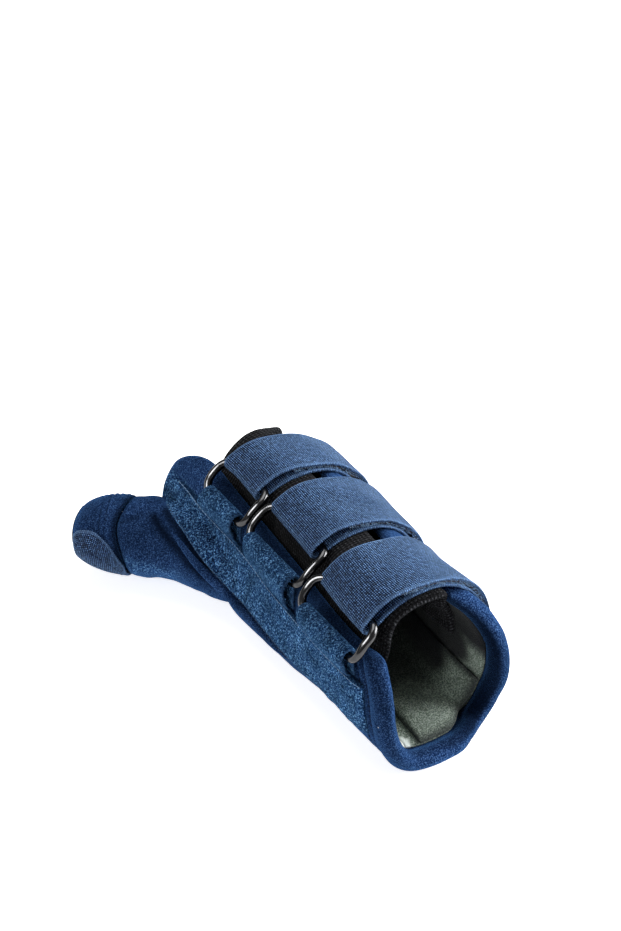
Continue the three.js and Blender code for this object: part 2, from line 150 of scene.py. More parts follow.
def wallPoint(degrees, y, height):
    degrees, y, height = together(degrees, y, height)
    xAfter, zAfter = wallMiddle(degrees + sleeve["slopeStep"], y)
    xBefore, zBefore = wallMiddle(degrees - sleeve["slopeStep"], y)
    run = np.hypot(xAfter - xBefore, zAfter - zBefore)
    x, z = wallMiddle(degrees, y)
    height = height + swellAt(degrees, y)
    x = x + (zAfter - zBefore) / run * height
    z = z - (xAfter - xBefore) / run * height
    return np.stack([x, y, z], -1)


# a quarter round: low at an edge and full from `radius` inwards
def quarterRound(inward, radius, least=0.0):
    inside = np.clip(inward / radius, 0, 1)
    return np.sqrt(np.maximum(1 - (1 - inside) ** 2, least**2))


def roundOver(share, edge, least=0.1):
    return quarterRound(np.minimum(share, 1 - share), edge, least)


def fromSlot(around):
    return np.minimum(around, 1 - around) * sleeve["girth"]


def sleeveY(around, along):
    near = curveThrough(sleeve["ends"], "around", "near", around)
    far = curveThrough(sleeve["ends"], "around", "far", around)
    far = far - sleeve["corner"] * (1 - quarterRound(fromSlot(around), sleeve["corner"]))
    return blendTo(near, far, along)


def sleeveAngle(around, y):
    angle = blendTo(sectionAt("slotLeft", y), sectionAt("slotRight", y) + 360, around)
    onFlap = np.clip(np.asarray(around) - (1 - sleeve["flapWide"]), 0, 1) / sleeve["flapWide"]
    return angle + sleeve["flap"] * onFlap ** sleeve["flapBend"]


def sleevePoint(around, along, height):
    y = sleeveY(around, along)
    return wallPoint(sleeveAngle(around, y), y, height)


# steps from 0 to 1 that crowd together where an edge is rounded over
def spread(count, edge, turn):
    rim = edge * (1 - np.cos(np.linspace(0, math.pi / 2, turn + 1)))
    return np.concatenate([rim[:-1], np.linspace(edge, 1 - edge, count + 1), 1 - rim[-2::-1]])


# a grid of shares with such steps both ways, and how full a piece with rounded edges is there
def softGrid(shape, least=0.1):
    across = shape["stepsAcross"]
    along = shape["stepsAlong"]
    u, v = np.meshgrid(spread(*across), spread(*along))
    return u, v, roundOver(u, across[1], least) * roundOver(v, along[1], least)


# slow seeded waves, for the unevenness of cloth
def drift(points, size, seed, waves=16):
    dice = np.random.default_rng(seed)
    total = np.zeros(points.shape[:-1])
    for _ in range(waves):
        way = dice.normal(size=3)
        way *= 2 * math.pi / size * dice.uniform(0.7, 1.5) / np.linalg.norm(way)
        total += np.sin(points @ way + dice.uniform(0, 2 * math.pi))
    return total / math.sqrt(waves)


# a sum of such waves, each row with its weight, size and seed
def uneven(points, rows):
    return sum(weight * drift(points, *wave) for weight, *wave in rows)


def distanceAlong(points, axis=0):
    gone = np.cumsum(np.linalg.norm(np.diff(points, axis=axis), axis=-1), axis)
    return np.concatenate([np.zeros_like(gone.take([0], axis)), gone], axis)


def pointsAlong(line, gone, at):
    return np.stack([np.interp(at, gone, column) for column in line.T], -1)


# evens out a line, or the rows of a grid, in place
def smoothed(line, passes):
    for _ in range(passes):
        line[1:-1] = 0.25 * line[:-2] + 0.5 * line[1:-1] + 0.25 * line[2:]
    return line


# Mesh making

def toMetres(points):
    return (np.asarray(points, float) - np.array(sleeve["origin"])) / 1000


def addObject(name, data):
    item = bpy.data.objects.new(name, data)
    bpy.context.scene.collection.objects.link(item)
    return item


def makePiece(name, points, faces, cloth=None, marks=None, edges=()):
    mesh = bpy.data.meshes.new(name)
    mesh.from_pydata(toMetres(points).tolist(), edges, faces)
    for title, values in (marks or {}).items():
        layer = mesh.attributes.new(title, "FLOAT", "POINT")
        layer.data.foreach_set("value", np.asarray(values, np.float32).ravel())
    if cloth is not None:
        layer = mesh.uv_layers.new(name="cloth")
        corner = np.zeros(len(mesh.loops), np.int32)
        mesh.loops.foreach_get("vertex_index", corner)
        layer.data.foreach_set("uv", np.asarray(cloth, np.float32).reshape(-1, 2)[corner].ravel())
    mesh.shade_smooth()
    mesh.update()
    return addObject(name, mesh)


def facingOut(points, faces):
    a, b, c, d = (points[faces[:, k]] - points.mean(0) for k in range(4))
    volume = np.einsum("ij,ij->", a, np.cross(b, c) + np.cross(c, d))
    return faces if volume > 0 else faces[:, ::-1]


# quads between rows and columns of points; `loop` closes each row, `ring` joins the last row to the first
def gridFaces(rows, columns, loop=False, ring=False):
    j, i = np.meshgrid(np.arange(rows - 1 + ring), np.arange(columns - 1 + loop), indexing="ij")
    after = (j + 1) % rows * columns
    beside = (i + 1) % columns
    return np.stack([j * columns + i, j * columns + beside, after + beside, after + i], -1).reshape(-1, 4)


# a closed piece between two grids of points, rows by columns
def shellPiece(name, outer, inner, loop=False, cloth=None, marks=None):
    rows, columns = outer.shape[:2]
    sheet = rows * columns
    points = np.concatenate([outer.reshape(-1, 3), inner.reshape(-1, 3)])
    over = gridFaces(rows, columns, loop)
    i = np.arange(columns - 1 + loop)
    first = np.stack([i, (i + 1) % columns], 1)
    border = [first, (first + sheet - columns)[:, ::-1]]
    if not loop:
        j = np.arange(rows - 1) * columns
        border += [np.stack([j + columns, j], 1), np.stack([j, j + columns], 1) + columns - 1]
    border = np.concatenate(border)
    sides = np.stack([border[:, 1], border[:, 0], border[:, 0] + sheet, border[:, 1] + sheet], 1)
    faces = facingOut(points, np.concatenate([over, over[:, ::-1] + sheet, sides]))
    if cloth is not None:
        cloth = np.concatenate([cloth.reshape(-1, 2)] * 2)
    both = {}
    for title, values in (marks or {}).items():
        faceValues = values if isinstance(values, tuple) else (values, values)
        both[title] = np.concatenate([np.ravel(side) for side in faceValues])
    return makePiece(name, points, faces.tolist(), cloth, both)


# faces of a tube made of closed rows of points, capped at both ends unless it is a ring
def tubeFaces(points, rows, columns, ring=False):
    faces = facingOut(points, gridFaces(rows, columns, True, ring)).tolist()
    if ring:
        return faces
    near = list(range(columns))
    far = list(range((rows - 1) * columns, rows * columns))
    turned = faces[0][1] == 1
    return faces + ([near[::-1], far] if turned else [near, far[::-1]])


# a tube swept along a closed or open line of points
def sweptTube(line, radius, sides, closed, out):
    count = len(line)
    ahead = np.roll(line, -1, 0) - np.roll(line, 1, 0)
    if not closed:
        ahead[0] = line[1] - line[0]
        ahead[-1] = line[-1] - line[-2]
    ahead /= np.linalg.norm(ahead, axis=1)[:, None]
    across = np.cross(ahead, out)
    across /= np.linalg.norm(across, axis=1)[:, None]
    raised = np.cross(across, ahead)
    turn = 2 * math.pi * np.arange(sides) / sides
    spokes = across[:, None] * np.cos(turn)[:, None] + raised[:, None] * np.sin(turn)[:, None]
    points = line[:, None] + np.broadcast_to(radius, (count,))[:, None, None] * spokes
    points = points.reshape(-1, 3)
    return points, tubeFaces(points, count, sides, closed)


# lines, and then a sheet, of points that something grows on
def linesBase(lines):
    edges = []
    start = 0
    for line in lines:
        edges += [(start + k, start + k + 1) for k in range(len(line) - 1)]
        start += len(line)
    return makePiece("base", np.concatenate(lines), [], edges=edges)


def gridBase(grid):
    return makePiece("base", grid.reshape(-1, 3), gridFaces(*grid.shape[:2]).tolist())


# the mesh that a modifier leaves, after which the modifier goes
def settled(piece, modifier):
    bpy.context.view_layer.update()
    mesh = bpy.data.meshes.new_from_object(piece.evaluated_get(bpy.context.evaluated_depsgraph_get()))
    piece.modifiers.remove(modifier)
    mesh.shade_smooth()
    return mesh


def dress(piece, material, slotName, *nodes):
    if material is not None:
        piece.data.materials.clear()
        piece.data.materials.append(material)
    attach(piece, "root")
    if nodes:
        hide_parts(*nodes)


# Shader nodes and groups

def feed(tree, socket, value):
    if isinstance(value, bpy.types.NodeSocket):
        tree.links.new(value, socket)
    else:
        socket.default_value = (*value, 1) if socket.type == "RGBA" else value


def addNode(tree, kind, sockets, **settings):
    node = tree.nodes.new(kind)
    for title, value in settings.items():
        setattr(node, title, value)
    for title, value in sockets.items():
        feed(tree, node.inputs[title], value)
    return node.outputs


# a group whose sockets are given by a number to start from or, without one, by their kind
def startGroup(name, inputs, outputs, treeKind="ShaderNodeTree"):
    tree = bpy.data.node_groups.new(name, treeKind)
    for way, sockets in (("INPUT", inputs), ("OUTPUT", outputs)):
        for title, value in sockets.items():
            kind = {int: "Int", float: "Float"}.get(type(value), value)
            socket = tree.interface.new_socket(title, in_out=way, socket_type=f"NodeSocket{kind}")
            if kind != value:
                socket.default_value = value
    return tree, tree.nodes.new("NodeGroupInput").outputs, tree.nodes.new("NodeGroupOutput").inputs


def addMath(tree, operation, *values):
    return addNode(tree, "ShaderNodeMath", dict(enumerate(values)), operation=operation)[0]


def addMix(tree, factor, a, b):
    return addNode(tree, "ShaderNodeMix", {"Factor": factor, 6: a, 7: b}, data_type="RGBA")[2]


def addNoise(tree, vector, scale, detail=2.0, rough=0.55):
    sockets = {"Vector": vector, "Scale": scale, "Detail": detail, "Roughness": rough}
    return addNode(tree, "ShaderNodeTexNoise", sockets)["Fac"]


def addRange(tree, value, low, high, toLow=0.0, toHigh=1.0):
    sockets = {"Value": value, "From Min": low, "From Max": high, "To Min": toLow, "To Max": toHigh}
    return addNode(tree, "ShaderNodeMapRange", sockets, interpolation_type="SMOOTHSTEP")["Result"]


def addScale(tree, vector, factor):
    return addNode(tree, "ShaderNodeVectorMath", {0: vector, "Scale": factor}, operation="SCALE")[0]


def addGroup(tree, group, **sockets):
    return addNode(tree, "ShaderNodeGroup", sockets, node_tree=group)


def objectPlace(tree):
    return addNode(tree, "ShaderNodeTexCoord", {})["Object"]


def clothPlace(tree):
    return addNode(tree, "ShaderNodeUVMap", {}, uv_map="cloth")[0]


def markAt(tree, title):
    return addNode(tree, "ShaderNodeAttribute", {}, attribute_name=title)["Fac"]


# mottled nap: dark roots, a middle tone and light tips, over slow patches of tone
def buildNapTone():
    inputs = {
        "Vector": "Vector", "Grain scale": 900.0, "Patch scale": 60.0, "Patch depth": 0.4,
        "Roots": "Color", "Middle": "Color", "Tips": "Color",
    }
    tree, given, result = startGroup("napTone", inputs, {"Color": "Color", "Height": "Float"})
    grain = addNoise(tree, given["Vector"], given["Grain scale"], 3.0, 0.6)
    patch = addNoise(tree, given["Vector"], given["Patch scale"], 2.0, 0.5)
    tone = addMix(tree, addRange(tree, grain, 0.39, 0.55), given["Roots"], given["Middle"])
    tone = addMix(tree, addRange(tree, grain, 0.48, 0.74), tone, given["Tips"])
    lift = addMath(tree, "MULTIPLY", addMath(tree, "SUBTRACT", patch, 0.5), given["Patch depth"])
    tone = addScale(tree, tone, addMath(tree, "MULTIPLY_ADD", lift, 2.0, 1.0))
    tree.links.new(tone, result["Color"])
    tree.links.new(grain, result["Height"])
    return tree


# threads crossing at right angles, from a map in millimetres
def buildWeaveGrid():
    inputs = {"Cloth": "Vector", "Along": 1.1, "Across": 1.0, "Wander": 0.12}
    tree, given, result = startGroup("weaveGrid", inputs, {"Crown": "Float", "Height": "Float"})
    parts = addNode(tree, "ShaderNodeSeparateXYZ", {0: given["Cloth"]})
    stray = addMath(tree, "SUBTRACT", addNoise(tree, given["Cloth"], 0.9), 0.5)
    stray = addMath(tree, "MULTIPLY", stray, given["Wander"])
    waves = []
    for axis, period in (("X", "Along"), ("Y", "Across")):
        place = addMath(tree, "ADD", parts[axis], stray)
        turn = addMath(tree, "MULTIPLY", addMath(tree, "DIVIDE", place, given[period]), 2 * math.pi)
        waves.append(addMath(tree, "MULTIPLY_ADD", addMath(tree, "SINE", turn), 0.5, 0.5))
    crown = addMath(tree, "MULTIPLY", waves[0], waves[1])
    tree.links.new(addRange(tree, crown, 0.15, 0.8), result["Crown"])
    tree.links.new(addMath(tree, "MULTIPLY_ADD", waves[1], 0.4, crown), result["Height"])
    return tree


# sparse pale specks of lint, in the few cells that draw high enough
def buildLint():
    inputs = {"Vector": "Vector", "Scale": 60.0, "Size": 0.03, "Rarity": 0.86}
    tree, given, result = startGroup("lint", inputs, {"Mask": "Float"})
    cells = addNode(tree, "ShaderNodeTexVoronoi", {"Vector": given["Vector"], "Scale": given["Scale"]})
    near = addMath(tree, "LESS_THAN", cells["Distance"], given["Size"])
    draw = addNode(tree, "ShaderNodeSeparateColor", {0: cells["Color"]})[0]
    chosen = addMath(tree, "GREATER_THAN", draw, given["Rarity"])
    tree.links.new(addMath(tree, "MULTIPLY", near, chosen), result["Mask"])
    return tree


napTone = buildNapTone()
weaveGrid = buildWeaveGrid()
lint = buildLint()


# Materials

def startMaterial(name, constants):
    material = bpy.data.materials.new(name)
    material.use_nodes = True
    tree = material.node_tree
    shader = tree.nodes["Principled BSDF"].inputs
    for title, value in constants.items():
        feed(tree, shader[title], value)
    return material, tree, shader


def endMaterial(tree, shader, tone, height, bump):
    distance, strength = bump
    sockets = {"Distance": distance, "Strength": strength, "Height": height}
    tree.links.new(tone, shader["Base Color"])
    tree.links.new(addNode(tree, "ShaderNodeBump", sockets)[0], shader["Normal"])


def napOf(grain, patch, depth, roots, middle, tips):
    return {
        "Grain scale": grain, "Patch scale": patch, "Patch depth": depth,
        "Roots": roots, "Middle": middle, "Tips": tips,
    }


def clothShader(rough, sheen, sheenRough, tint, specular=0.0):
    return {
        "Roughness": rough, "Sheen Weight": sheen, "Sheen Roughness": sheenRough, "Sheen Tint": tint,
        "Specular IOR Level": specular,
    }


plushLook = {
    "shader": clothShader(rough=1.0, sheen=0.35, sheenRough=0.4, tint=(0.15, 0.42, 0.85)),
    "nap": napOf(
        grain=1200.0, patch=130.0, depth=1.0,
        roots=(0.002, 0.009, 0.03), middle=(0.008, 0.037, 0.135), tips=(0.27, 0.58, 1.0),
    ),
    "backing": (0.035, 0.08, 0.18),
    "bump": (0.0016, 1.0),  # distance and strength
}
velourLook = {
    "shader": clothShader(rough=0.95, sheen=0.55, sheenRough=0.35, tint=(0.12, 0.33, 0.8)),
    "nap": napOf(
        grain=1650.0, patch=50.0, depth=0.6,
        roots=(0.0035, 0.012, 0.042), middle=(0.013, 0.035, 0.104), tips=(0.072, 0.155, 0.36),
    ),
    "specks": {"Scale": 75.0, "Size": 0.035},
    "lint": (0.45, 0.5, 0.55),
    "shade": (0.0015, 0.003, 0.009),
    "mostShade": 0.93,
    "bump": (0.0007, 0.8),
}
webbingLook = {
    "shader": clothShader(rough=0.75, sheen=0.5, sheenRough=0.3, tint=(0.35, 0.6, 1), specular=0.05),
    "weave": {"Along": 1.0, "Across": 1.1, "Wander": 0.42},
    "gap": (0.003, 0.011, 0.042),
    "thread": (0.128, 0.238, 0.44),
    "selvage": (0.105, 0.19, 0.36),
    "fleckScale": 800.0,
    "fleck": (0.34, 0.66, 0.28, 1.85),  # range of the noise, and the brightness it stands for
    "slowScale": 55.0,
    "slow": (0.3, 0.7, 0.0, 0.3),
    "bump": (0.0003, 0.9),
}
knitLook = {
    "shader": clothShader(rough=0.9, sheen=0.05, sheenRough=0.5, tint=(0.7, 0.75, 0.8), specular=0.05),
    "weave": {"Along": 1.9, "Across": 1.6, "Wander": 0.9},
    "nap": napOf(
        grain=1300.0, patch=50.0, depth=0.4,
        roots=(0.003, 0.003, 0.004), middle=(0.024, 0.0255, 0.03), tips=(0.1, 0.104, 0.116),
    ),
    "grainBump": 0.5,
    "bump": (0.0006, 1.0),
}
liningLook = {
    "shader": clothShader(rough=0.95, sheen=0.1, sheenRough=0.5, tint=(0.9, 0.95, 0.9)),
    "nap": napOf(
        grain=1500.0, patch=60.0, depth=0.75,
        roots=(0.1, 0.127, 0.105), middle=(0.21, 0.256, 0.218), tips=(0.46, 0.53, 0.46),
    ),
    # pale fluff on the lining near the rim, and painted light over the lining there
    "pale": (0.72, 0.78, 0.75),
    # near black, for the painted shade deep inside the sleeve and along the seams
    "deepShade": (0.012, 0.013, 0.016),
    "bump": (0.0008, 0.8),
}
wireLook = {
    "low": (0.045, 0.045, 0.047),
    "high": (0.065, 0.065, 0.067),
    "smearScale": 260.0,
    "rough": (0.3, 0.75, 0.15, 0.19),
    "grainScale": 900.0,
    "bump": (0.00001, 0.3),
}
hookLook = {
    "weave": {"Along": 1.5, "Across": 1.4, "Wander": 0.1},
    "gap": (0.004, 0.007, 0.018),
    "thread": (0.02, 0.034, 0.075),
    "bump": (0.0003, 1.0),
}
threadLook = {"twistScale": 2200.0, "twist": (0.35, 0.65), "bump": (0.0001, 0.8)}


def velourMaterial(name, look):
    material, tree, shader = startMaterial(name, look["shader"])
    place = objectPlace(tree)
    nap = addGroup(tree, napTone, Vector=place, **look["nap"])
    loops = addGroup(tree, napTone, Vector=place, **plushLook["nap"])
    specks = addGroup(tree, lint, Vector=place, **look["specks"])
    shade = addMath(tree, "MULTIPLY", markAt(tree, "shaded"), look["mostShade"])
    tone = addMix(tree, markAt(tree, "loopPatch"), nap["Color"], loops["Color"])
    tone = addMix(tree, shade, tone, look["shade"])
    tone = addMix(tree, specks["Mask"], tone, look["lint"])
    endMaterial(tree, shader, tone, nap["Height"], look["bump"])
    return material


def plushMaterial(name, look):
    material, tree, shader = startMaterial(name, look["shader"])
    nap = addGroup(tree, napTone, Vector=objectPlace(tree), **look["nap"])
    tone = addMix(tree, markAt(tree, "backing"), nap["Color"], look["backing"])
    # the tint mark: each fibre's own random tone, and painted shade over the tabs
    tone = addScale(tree, tone, addMath(tree, "ADD", markAt(tree, "tint"), 1.0))
    tone = addMix(tree, markAt(tree, "shaded"), tone, look["nap"]["Roots"])
    endMaterial(tree, shader, tone, nap["Height"], look["bump"])
    return material


def webbingMaterial(name, look):
    material, tree, shader = startMaterial(name, look["shader"])
    place = objectPlace(tree)
    weave = addGroup(tree, weaveGrid, Cloth=clothPlace(tree), **look["weave"])
    slow = addNoise(tree, place, look["slowScale"])
    fleck = addNoise(tree, place, look["fleckScale"], rough=0.6)
    tone = addMix(tree, weave["Crown"], look["gap"], look["thread"])
    tone = addScale(tree, tone, addRange(tree, fleck, *look["fleck"]))
    tone = addMix(tree, markAt(tree, "selvage"), tone, look["selvage"])
    tone = addMix(tree, addRange(tree, slow, *look["slow"]), tone, look["gap"])
    # painted shade in the sewn grooves of the thumb's hook tab
    tone = addMix(tree, markAt(tree, "grooveShade"), tone, look["gap"])
    endMaterial(tree, shader, tone, weave["Height"], look["bump"])
    return material


def knitMaterial(name, look):
    material, tree, shader = startMaterial(name, look["shader"])
    weave = addGroup(tree, weaveGrid, Cloth=clothPlace(tree), **look["weave"])
    nap = addGroup(tree, napTone, Vector=objectPlace(tree), **look["nap"])
    tone = addMix(tree, weave["Crown"], look["nap"]["Roots"], nap["Color"])
    height = addMath(tree, "MULTIPLY_ADD", nap["Height"], look["grainBump"], weave["Height"])
    endMaterial(tree, shader, tone, height, look["bump"])
    return material


def liningMaterial(name, look):
    material, tree, shader = startMaterial(name, look["shader"])
    nap = addGroup(tree, napTone, Vector=objectPlace(tree), **look["nap"])
    # pale fluff and painted light on the lining near the rim
    tone = addMix(tree, markAt(tree, "pale"), nap["Color"], look["pale"])
    # painted shade: deeper inside the sleeve and along the seams the lining goes near black
    tone = addMix(tree, markAt(tree, "deepShade"), tone, look["deepShade"])
    endMaterial(tree, shader, tone, nap["Height"], look["bump"])
    return material


def wireMaterial(name, look):
    material, tree, shader = startMaterial(name, {"Metallic": 1.0})
    place = objectPlace(tree)
    smear = addNoise(tree, place, look["smearScale"], 3.0)
    tone = addMix(tree, addRange(tree, smear, 0.3, 0.7), look["low"], look["high"])
    tree.links.new(addRange(tree, smear, *look["rough"]), shader["Roughness"])
    endMaterial(tree, shader, tone, addNoise(tree, place, look["grainScale"]), look["bump"])
    return material


def hookMaterial(name, look):
    material, tree, shader = startMaterial(name, {"Roughness": 0.5, "Specular IOR Level": 0.4})
    weave = addGroup(tree, weaveGrid, Cloth=clothPlace(tree), **look["weave"])
    tone = addMix(tree, weave["Crown"], look["gap"], look["thread"])
    endMaterial(tree, shader, tone, weave["Height"], look["bump"])
    return material


def threadMaterial(name, look, low, high):
    material, tree, shader = startMaterial(name, {"Roughness": 0.8, "Specular IOR Level": 0.05})
    twist = addNoise(tree, objectPlace(tree), look["twistScale"])
    tone = addMix(tree, addRange(tree, twist, *look["twist"]), low, high)
    endMaterial(tree, shader, tone, twist, look["bump"])
    return material


velour = velourMaterial("velour", velourLook)
plush = plushMaterial("plush", plushLook)
webbing = webbingMaterial("webbing", webbingLook)
knit = knitMaterial("knit", knitLook)
lining = liningMaterial("lining", liningLook)
wire = wireMaterial("wire", wireLook)
hookTape = hookMaterial("hookTape", hookLook)
blueThread = threadMaterial("blueThread", threadLook, (0.03, 0.06, 0.13), (0.10, 0.17, 0.29))
darkThread = threadMaterial("darkThread", threadLook, (0.002, 0.005, 0.016), (0.006, 0.014, 0.04))
paleThread = threadMaterial("paleThread", threadLook, (0.14, 0.25, 0.44), (0.3, 0.45, 0.66))
print("materials built")


# Node trees for what repeats

def startGrowth(name, inputs):
    inputs = {"Geometry": "Geometry", **inputs}
    tree, given, result = startGroup(name, inputs, {"Geometry": "Geometry"}, "GeometryNodeTree")
    tree.is_modifier = True
    return tree, given, result


def endGrowth(tree, instances, material, result):
    real = addNode(tree, "GeometryNodeRealizeInstances", {"Geometry": instances})
    paint = addNode(tree, "GeometryNodeSetMaterial", {"Geometry": real[0], "Material": material})
    tree.links.new(paint[0], result["Geometry"])


def addInstances(tree, points, rotation, instance, scale):
    sockets = {"Points": points, "Rotation": rotation, "Instance": instance, "Scale": scale}
    return addNode(tree, "GeometryNodeInstanceOnPoints", sockets)[0]


# stitches along the edges of a mesh of lines
def buildStitchRow():
    inputs = {"Pitch": 0.0025, "Length": 0.0018, "Thickness": 0.0005, "Thread": "Material"}
    tree, given, result = startGrowth("stitchRow", inputs)
    curve = addNode(tree, "GeometryNodeMeshToCurve", {"Mesh": given["Geometry"]})
    sockets = {"Curve": curve[0], "Length": given["Pitch"]}
    even = addNode(tree, "GeometryNodeResampleCurve", sockets, mode="LENGTH")
    points = addNode(tree, "GeometryNodeCurveToPoints", {"Curve": even[0]}, mode="EVALUATED")
    align = addNode(tree, "FunctionNodeAlignRotationToVector", {"Vector": points["Tangent"]}, axis="X")
    ball = addNode(tree, "GeometryNodeMeshUVSphere", {"Segments": 8, "Rings": 5, "Radius": 0.5})
    thick = given["Thickness"]
    size = addNode(tree, "ShaderNodeCombineXYZ", {0: given["Length"], 1: thick, 2: thick})
    stitches = addInstances(tree, points["Points"], align[0], ball["Mesh"], size[0])
    endGrowth(tree, stitches, given["Thread"], result)
    return tree


# short tapered fibres standing on a surface, each with its own tint
def buildFibres():
    inputs = {
        "Density": 400000.0, "Length": 0.0015, "Width": 0.0003, "Lean": 0.7, "Seed": 1, "Fibre": "Material",
    }
    tree, given, result = startGrowth("fibres", inputs)
    seed = given["Seed"]
    sockets = {"Mesh": given["Geometry"], "Density": given["Density"], "Seed": seed}
    scatter = addNode(tree, "GeometryNodeDistributePointsOnFaces", sockets)
    sockets = {"Vertices": 3, "Radius Bottom": given["Width"], "Depth": given["Length"]}
    cone = addNode(tree, "GeometryNodeMeshCone", sockets, fill_type="NGON")
    sockets = {"Seed": seed}
    for k, most in enumerate([(-1, -1, -4), (1, 1, 4)]):
        sockets[k] = addScale(tree, most, given["Lean"])
    lean = addNode(tree, "FunctionNodeRandomValue", sockets, data_type="FLOAT_VECTOR")
    lean = addNode(tree, "FunctionNodeEulerToRotation", {0: lean[0]})
    sockets = {"Rotation": scatter["Rotation"], "Rotate By": lean[0]}
    turn = addNode(tree, "FunctionNodeRotateRotation", sockets, rotation_space="LOCAL")
    size = addNode(tree, "FunctionNodeRandomValue", {2: 0.55, 3: 1.25, "Seed": seed})
    standing = addInstances(tree, scatter["Points"], turn[0], cone["Mesh"], size[1])
    tint = addNode(tree, "FunctionNodeRandomValue", {2: -0.7, 3: 0.9, "Seed": 77})
    sockets = {"Geometry": standing, "Name": "tint", "Value": tint[1]}
    tinted = addNode(tree, "GeometryNodeStoreNamedAttribute", sockets, data_type="FLOAT", domain="INSTANCE")
    endGrowth(tree, tinted[0], given["Fibre"], result)
    return tree


stitchRow = buildStitchRow()
fibres = buildFibres()


# runs a tree on a base piece and keeps the result as a plain mesh
def grow(name, base, tree, slotName, **values):
    modifier = base.modifiers.new(name, "NODES")
    modifier.node_group = tree
    for item in tree.interface.items_tree:
        if item.in_out == "INPUT" and item.name in values:
            modifier[item.identifier] = values[item.name]
    mesh = settled(base, modifier)
    bpy.data.objects.remove(base)
    mesh.name = name
    dress(addObject(name, mesh), None, slotName)


# Thumb rule
thumb = {
    "t": [0, 0.2, 0.4, 0.6, 0.8, 1],
    "x": [16, -2, -17.5, -32, -45, -58],
    "y": [150, 166, 180.5, 194, 206, 217],
    "z": [22, 22.3, 23.2, 24, 24.6, 25.4],
    "wide": [35, 28, 22.4, 20, 19, 15],
    "high": [20, 20, 20, 19.5, 19, 14],
    "slopeStep": 0.01,
    "squarer": 0.8,  # how much squarer the underside is at the root
    "squareTill": (0.1, 0.36),
    "bore": 5.0,  # how far inside this rule the sleeve is cut open
}


def thumbAt(key, t):
    return curveThrough(thumb, "t", key, t)


def thumbPoint(degrees, t, height):
    degrees, t, height = together(degrees, t, height)
    step = thumb["slopeStep"]
    aheadX, aheadY = (thumbAt(key, t + step) - thumbAt(key, t - step) for key in ("x", "y"))
    run = np.hypot(aheadX, aheadY)
    across, upward = onSquare(degrees, 2.0, 2 + thumb["squarer"] * fade(t, *thumb["squareTill"]))
    wide = (thumbAt("wide", t) + height) * across
    high = (thumbAt("high", t) + height) * upward
    x = thumbAt("x", t) + aheadY / run * wide
    y = thumbAt("y", t) - aheadX / run * wide
    return np.stack([x, y, thumbAt("z", t) + high], -1)


def thumbPlug():
    degrees, t = np.meshgrid(np.linspace(0, 360, 49)[:-1], np.linspace(0, 0.5, 9))
    grid = thumbPoint(degrees, t, -thumb["bore"])
    points = grid.reshape(-1, 3)
    return makePiece("plug", points, tubeFaces(points, *grid.shape[:2]))


def cutBy(piece, tool):
    modifier = piece.modifiers.new("cut", "BOOLEAN")
    modifier.operation = "DIFFERENCE"
    modifier.solver = "EXACT"
    modifier.object = tool
    old = piece.data
    piece.data = settled(piece, modifier)
    bpy.data.meshes.remove(old)
    piece.data.name = piece.name
    bpy.data.objects.remove(tool)


# Rule of the plush panel, laid over the sleeve's wall and the root of the thumb
panel = {
    "y": [15, 45, 102, 116, 128, 140, 152, 166, 180, 198],
    "top": [170, 170, 169.5, 167.2, 165.8, 165, 164.6, 160.5, 154, 149],
    "reach": [27.3, 29, 24.4, 24.2, 25, 25.2, 22.8, 19.9, 20.2, 18.6],  # width from the top edge down
    "stepsAcross": (64, 0.08, 5),
    "stepsAlong": (230, 0.016, 5),
    "span": 28,
    "lift": 1.35,
    "thick": 2.0,
    "lumps": 0.4,
    "waves": [(0.5, 14, 31), (0.5, 4.2, 32, 40)],
    "corner": 15.0,
    "nearTop": 19.0,
    "nearLow": 15.5,
    "farSlant": 1.5,
    "creases": [1.5, 8.4],  # how far below the lower edge they run
    "pile": {"Density": 1100000.0, "Length": 0.0013, "Width": 0.0002, "Lean": 0.85, "Seed": 5},
}
lay = {
    "ys": (10, 201, 97),
    "steps": (0, 60, 81),
    "turn": (0, 1.45, 240),
    "thumbFrom": 118,
    "rays": (20, 75, 0.7),
    "blend": 2.0,  # how softly the wall runs into the thumb
    "floor": 0.3,
    "evenDown": 10,
    "evenAlong": 6,
}


def panelAt(key, y):
    return curveThrough(panel, "y", key, y)


def insideThumb(points):
    closeBy = 1.2
    fill = np.full(points.shape[:-1], np.inf)
    for t in np.linspace(0, 0.75, 50):
        right, left, top = thumbPoint([0.0, 180.0, 90.0], t, 0.0)
        wide = np.linalg.norm(right - left)
        way = (right - left) / wide
        off = points - (right + left) / 2
        across = off @ way / (wide / 2)
        upward = off[..., 2] / (top[2] - right[2])
        beyond = np.abs(off[..., 0] * -way[1] + off[..., 1] * way[0])
        fill = np.where(beyond < closeBy, np.minimum(fill, np.hypot(across, upward)), fill)
    return fill < 1


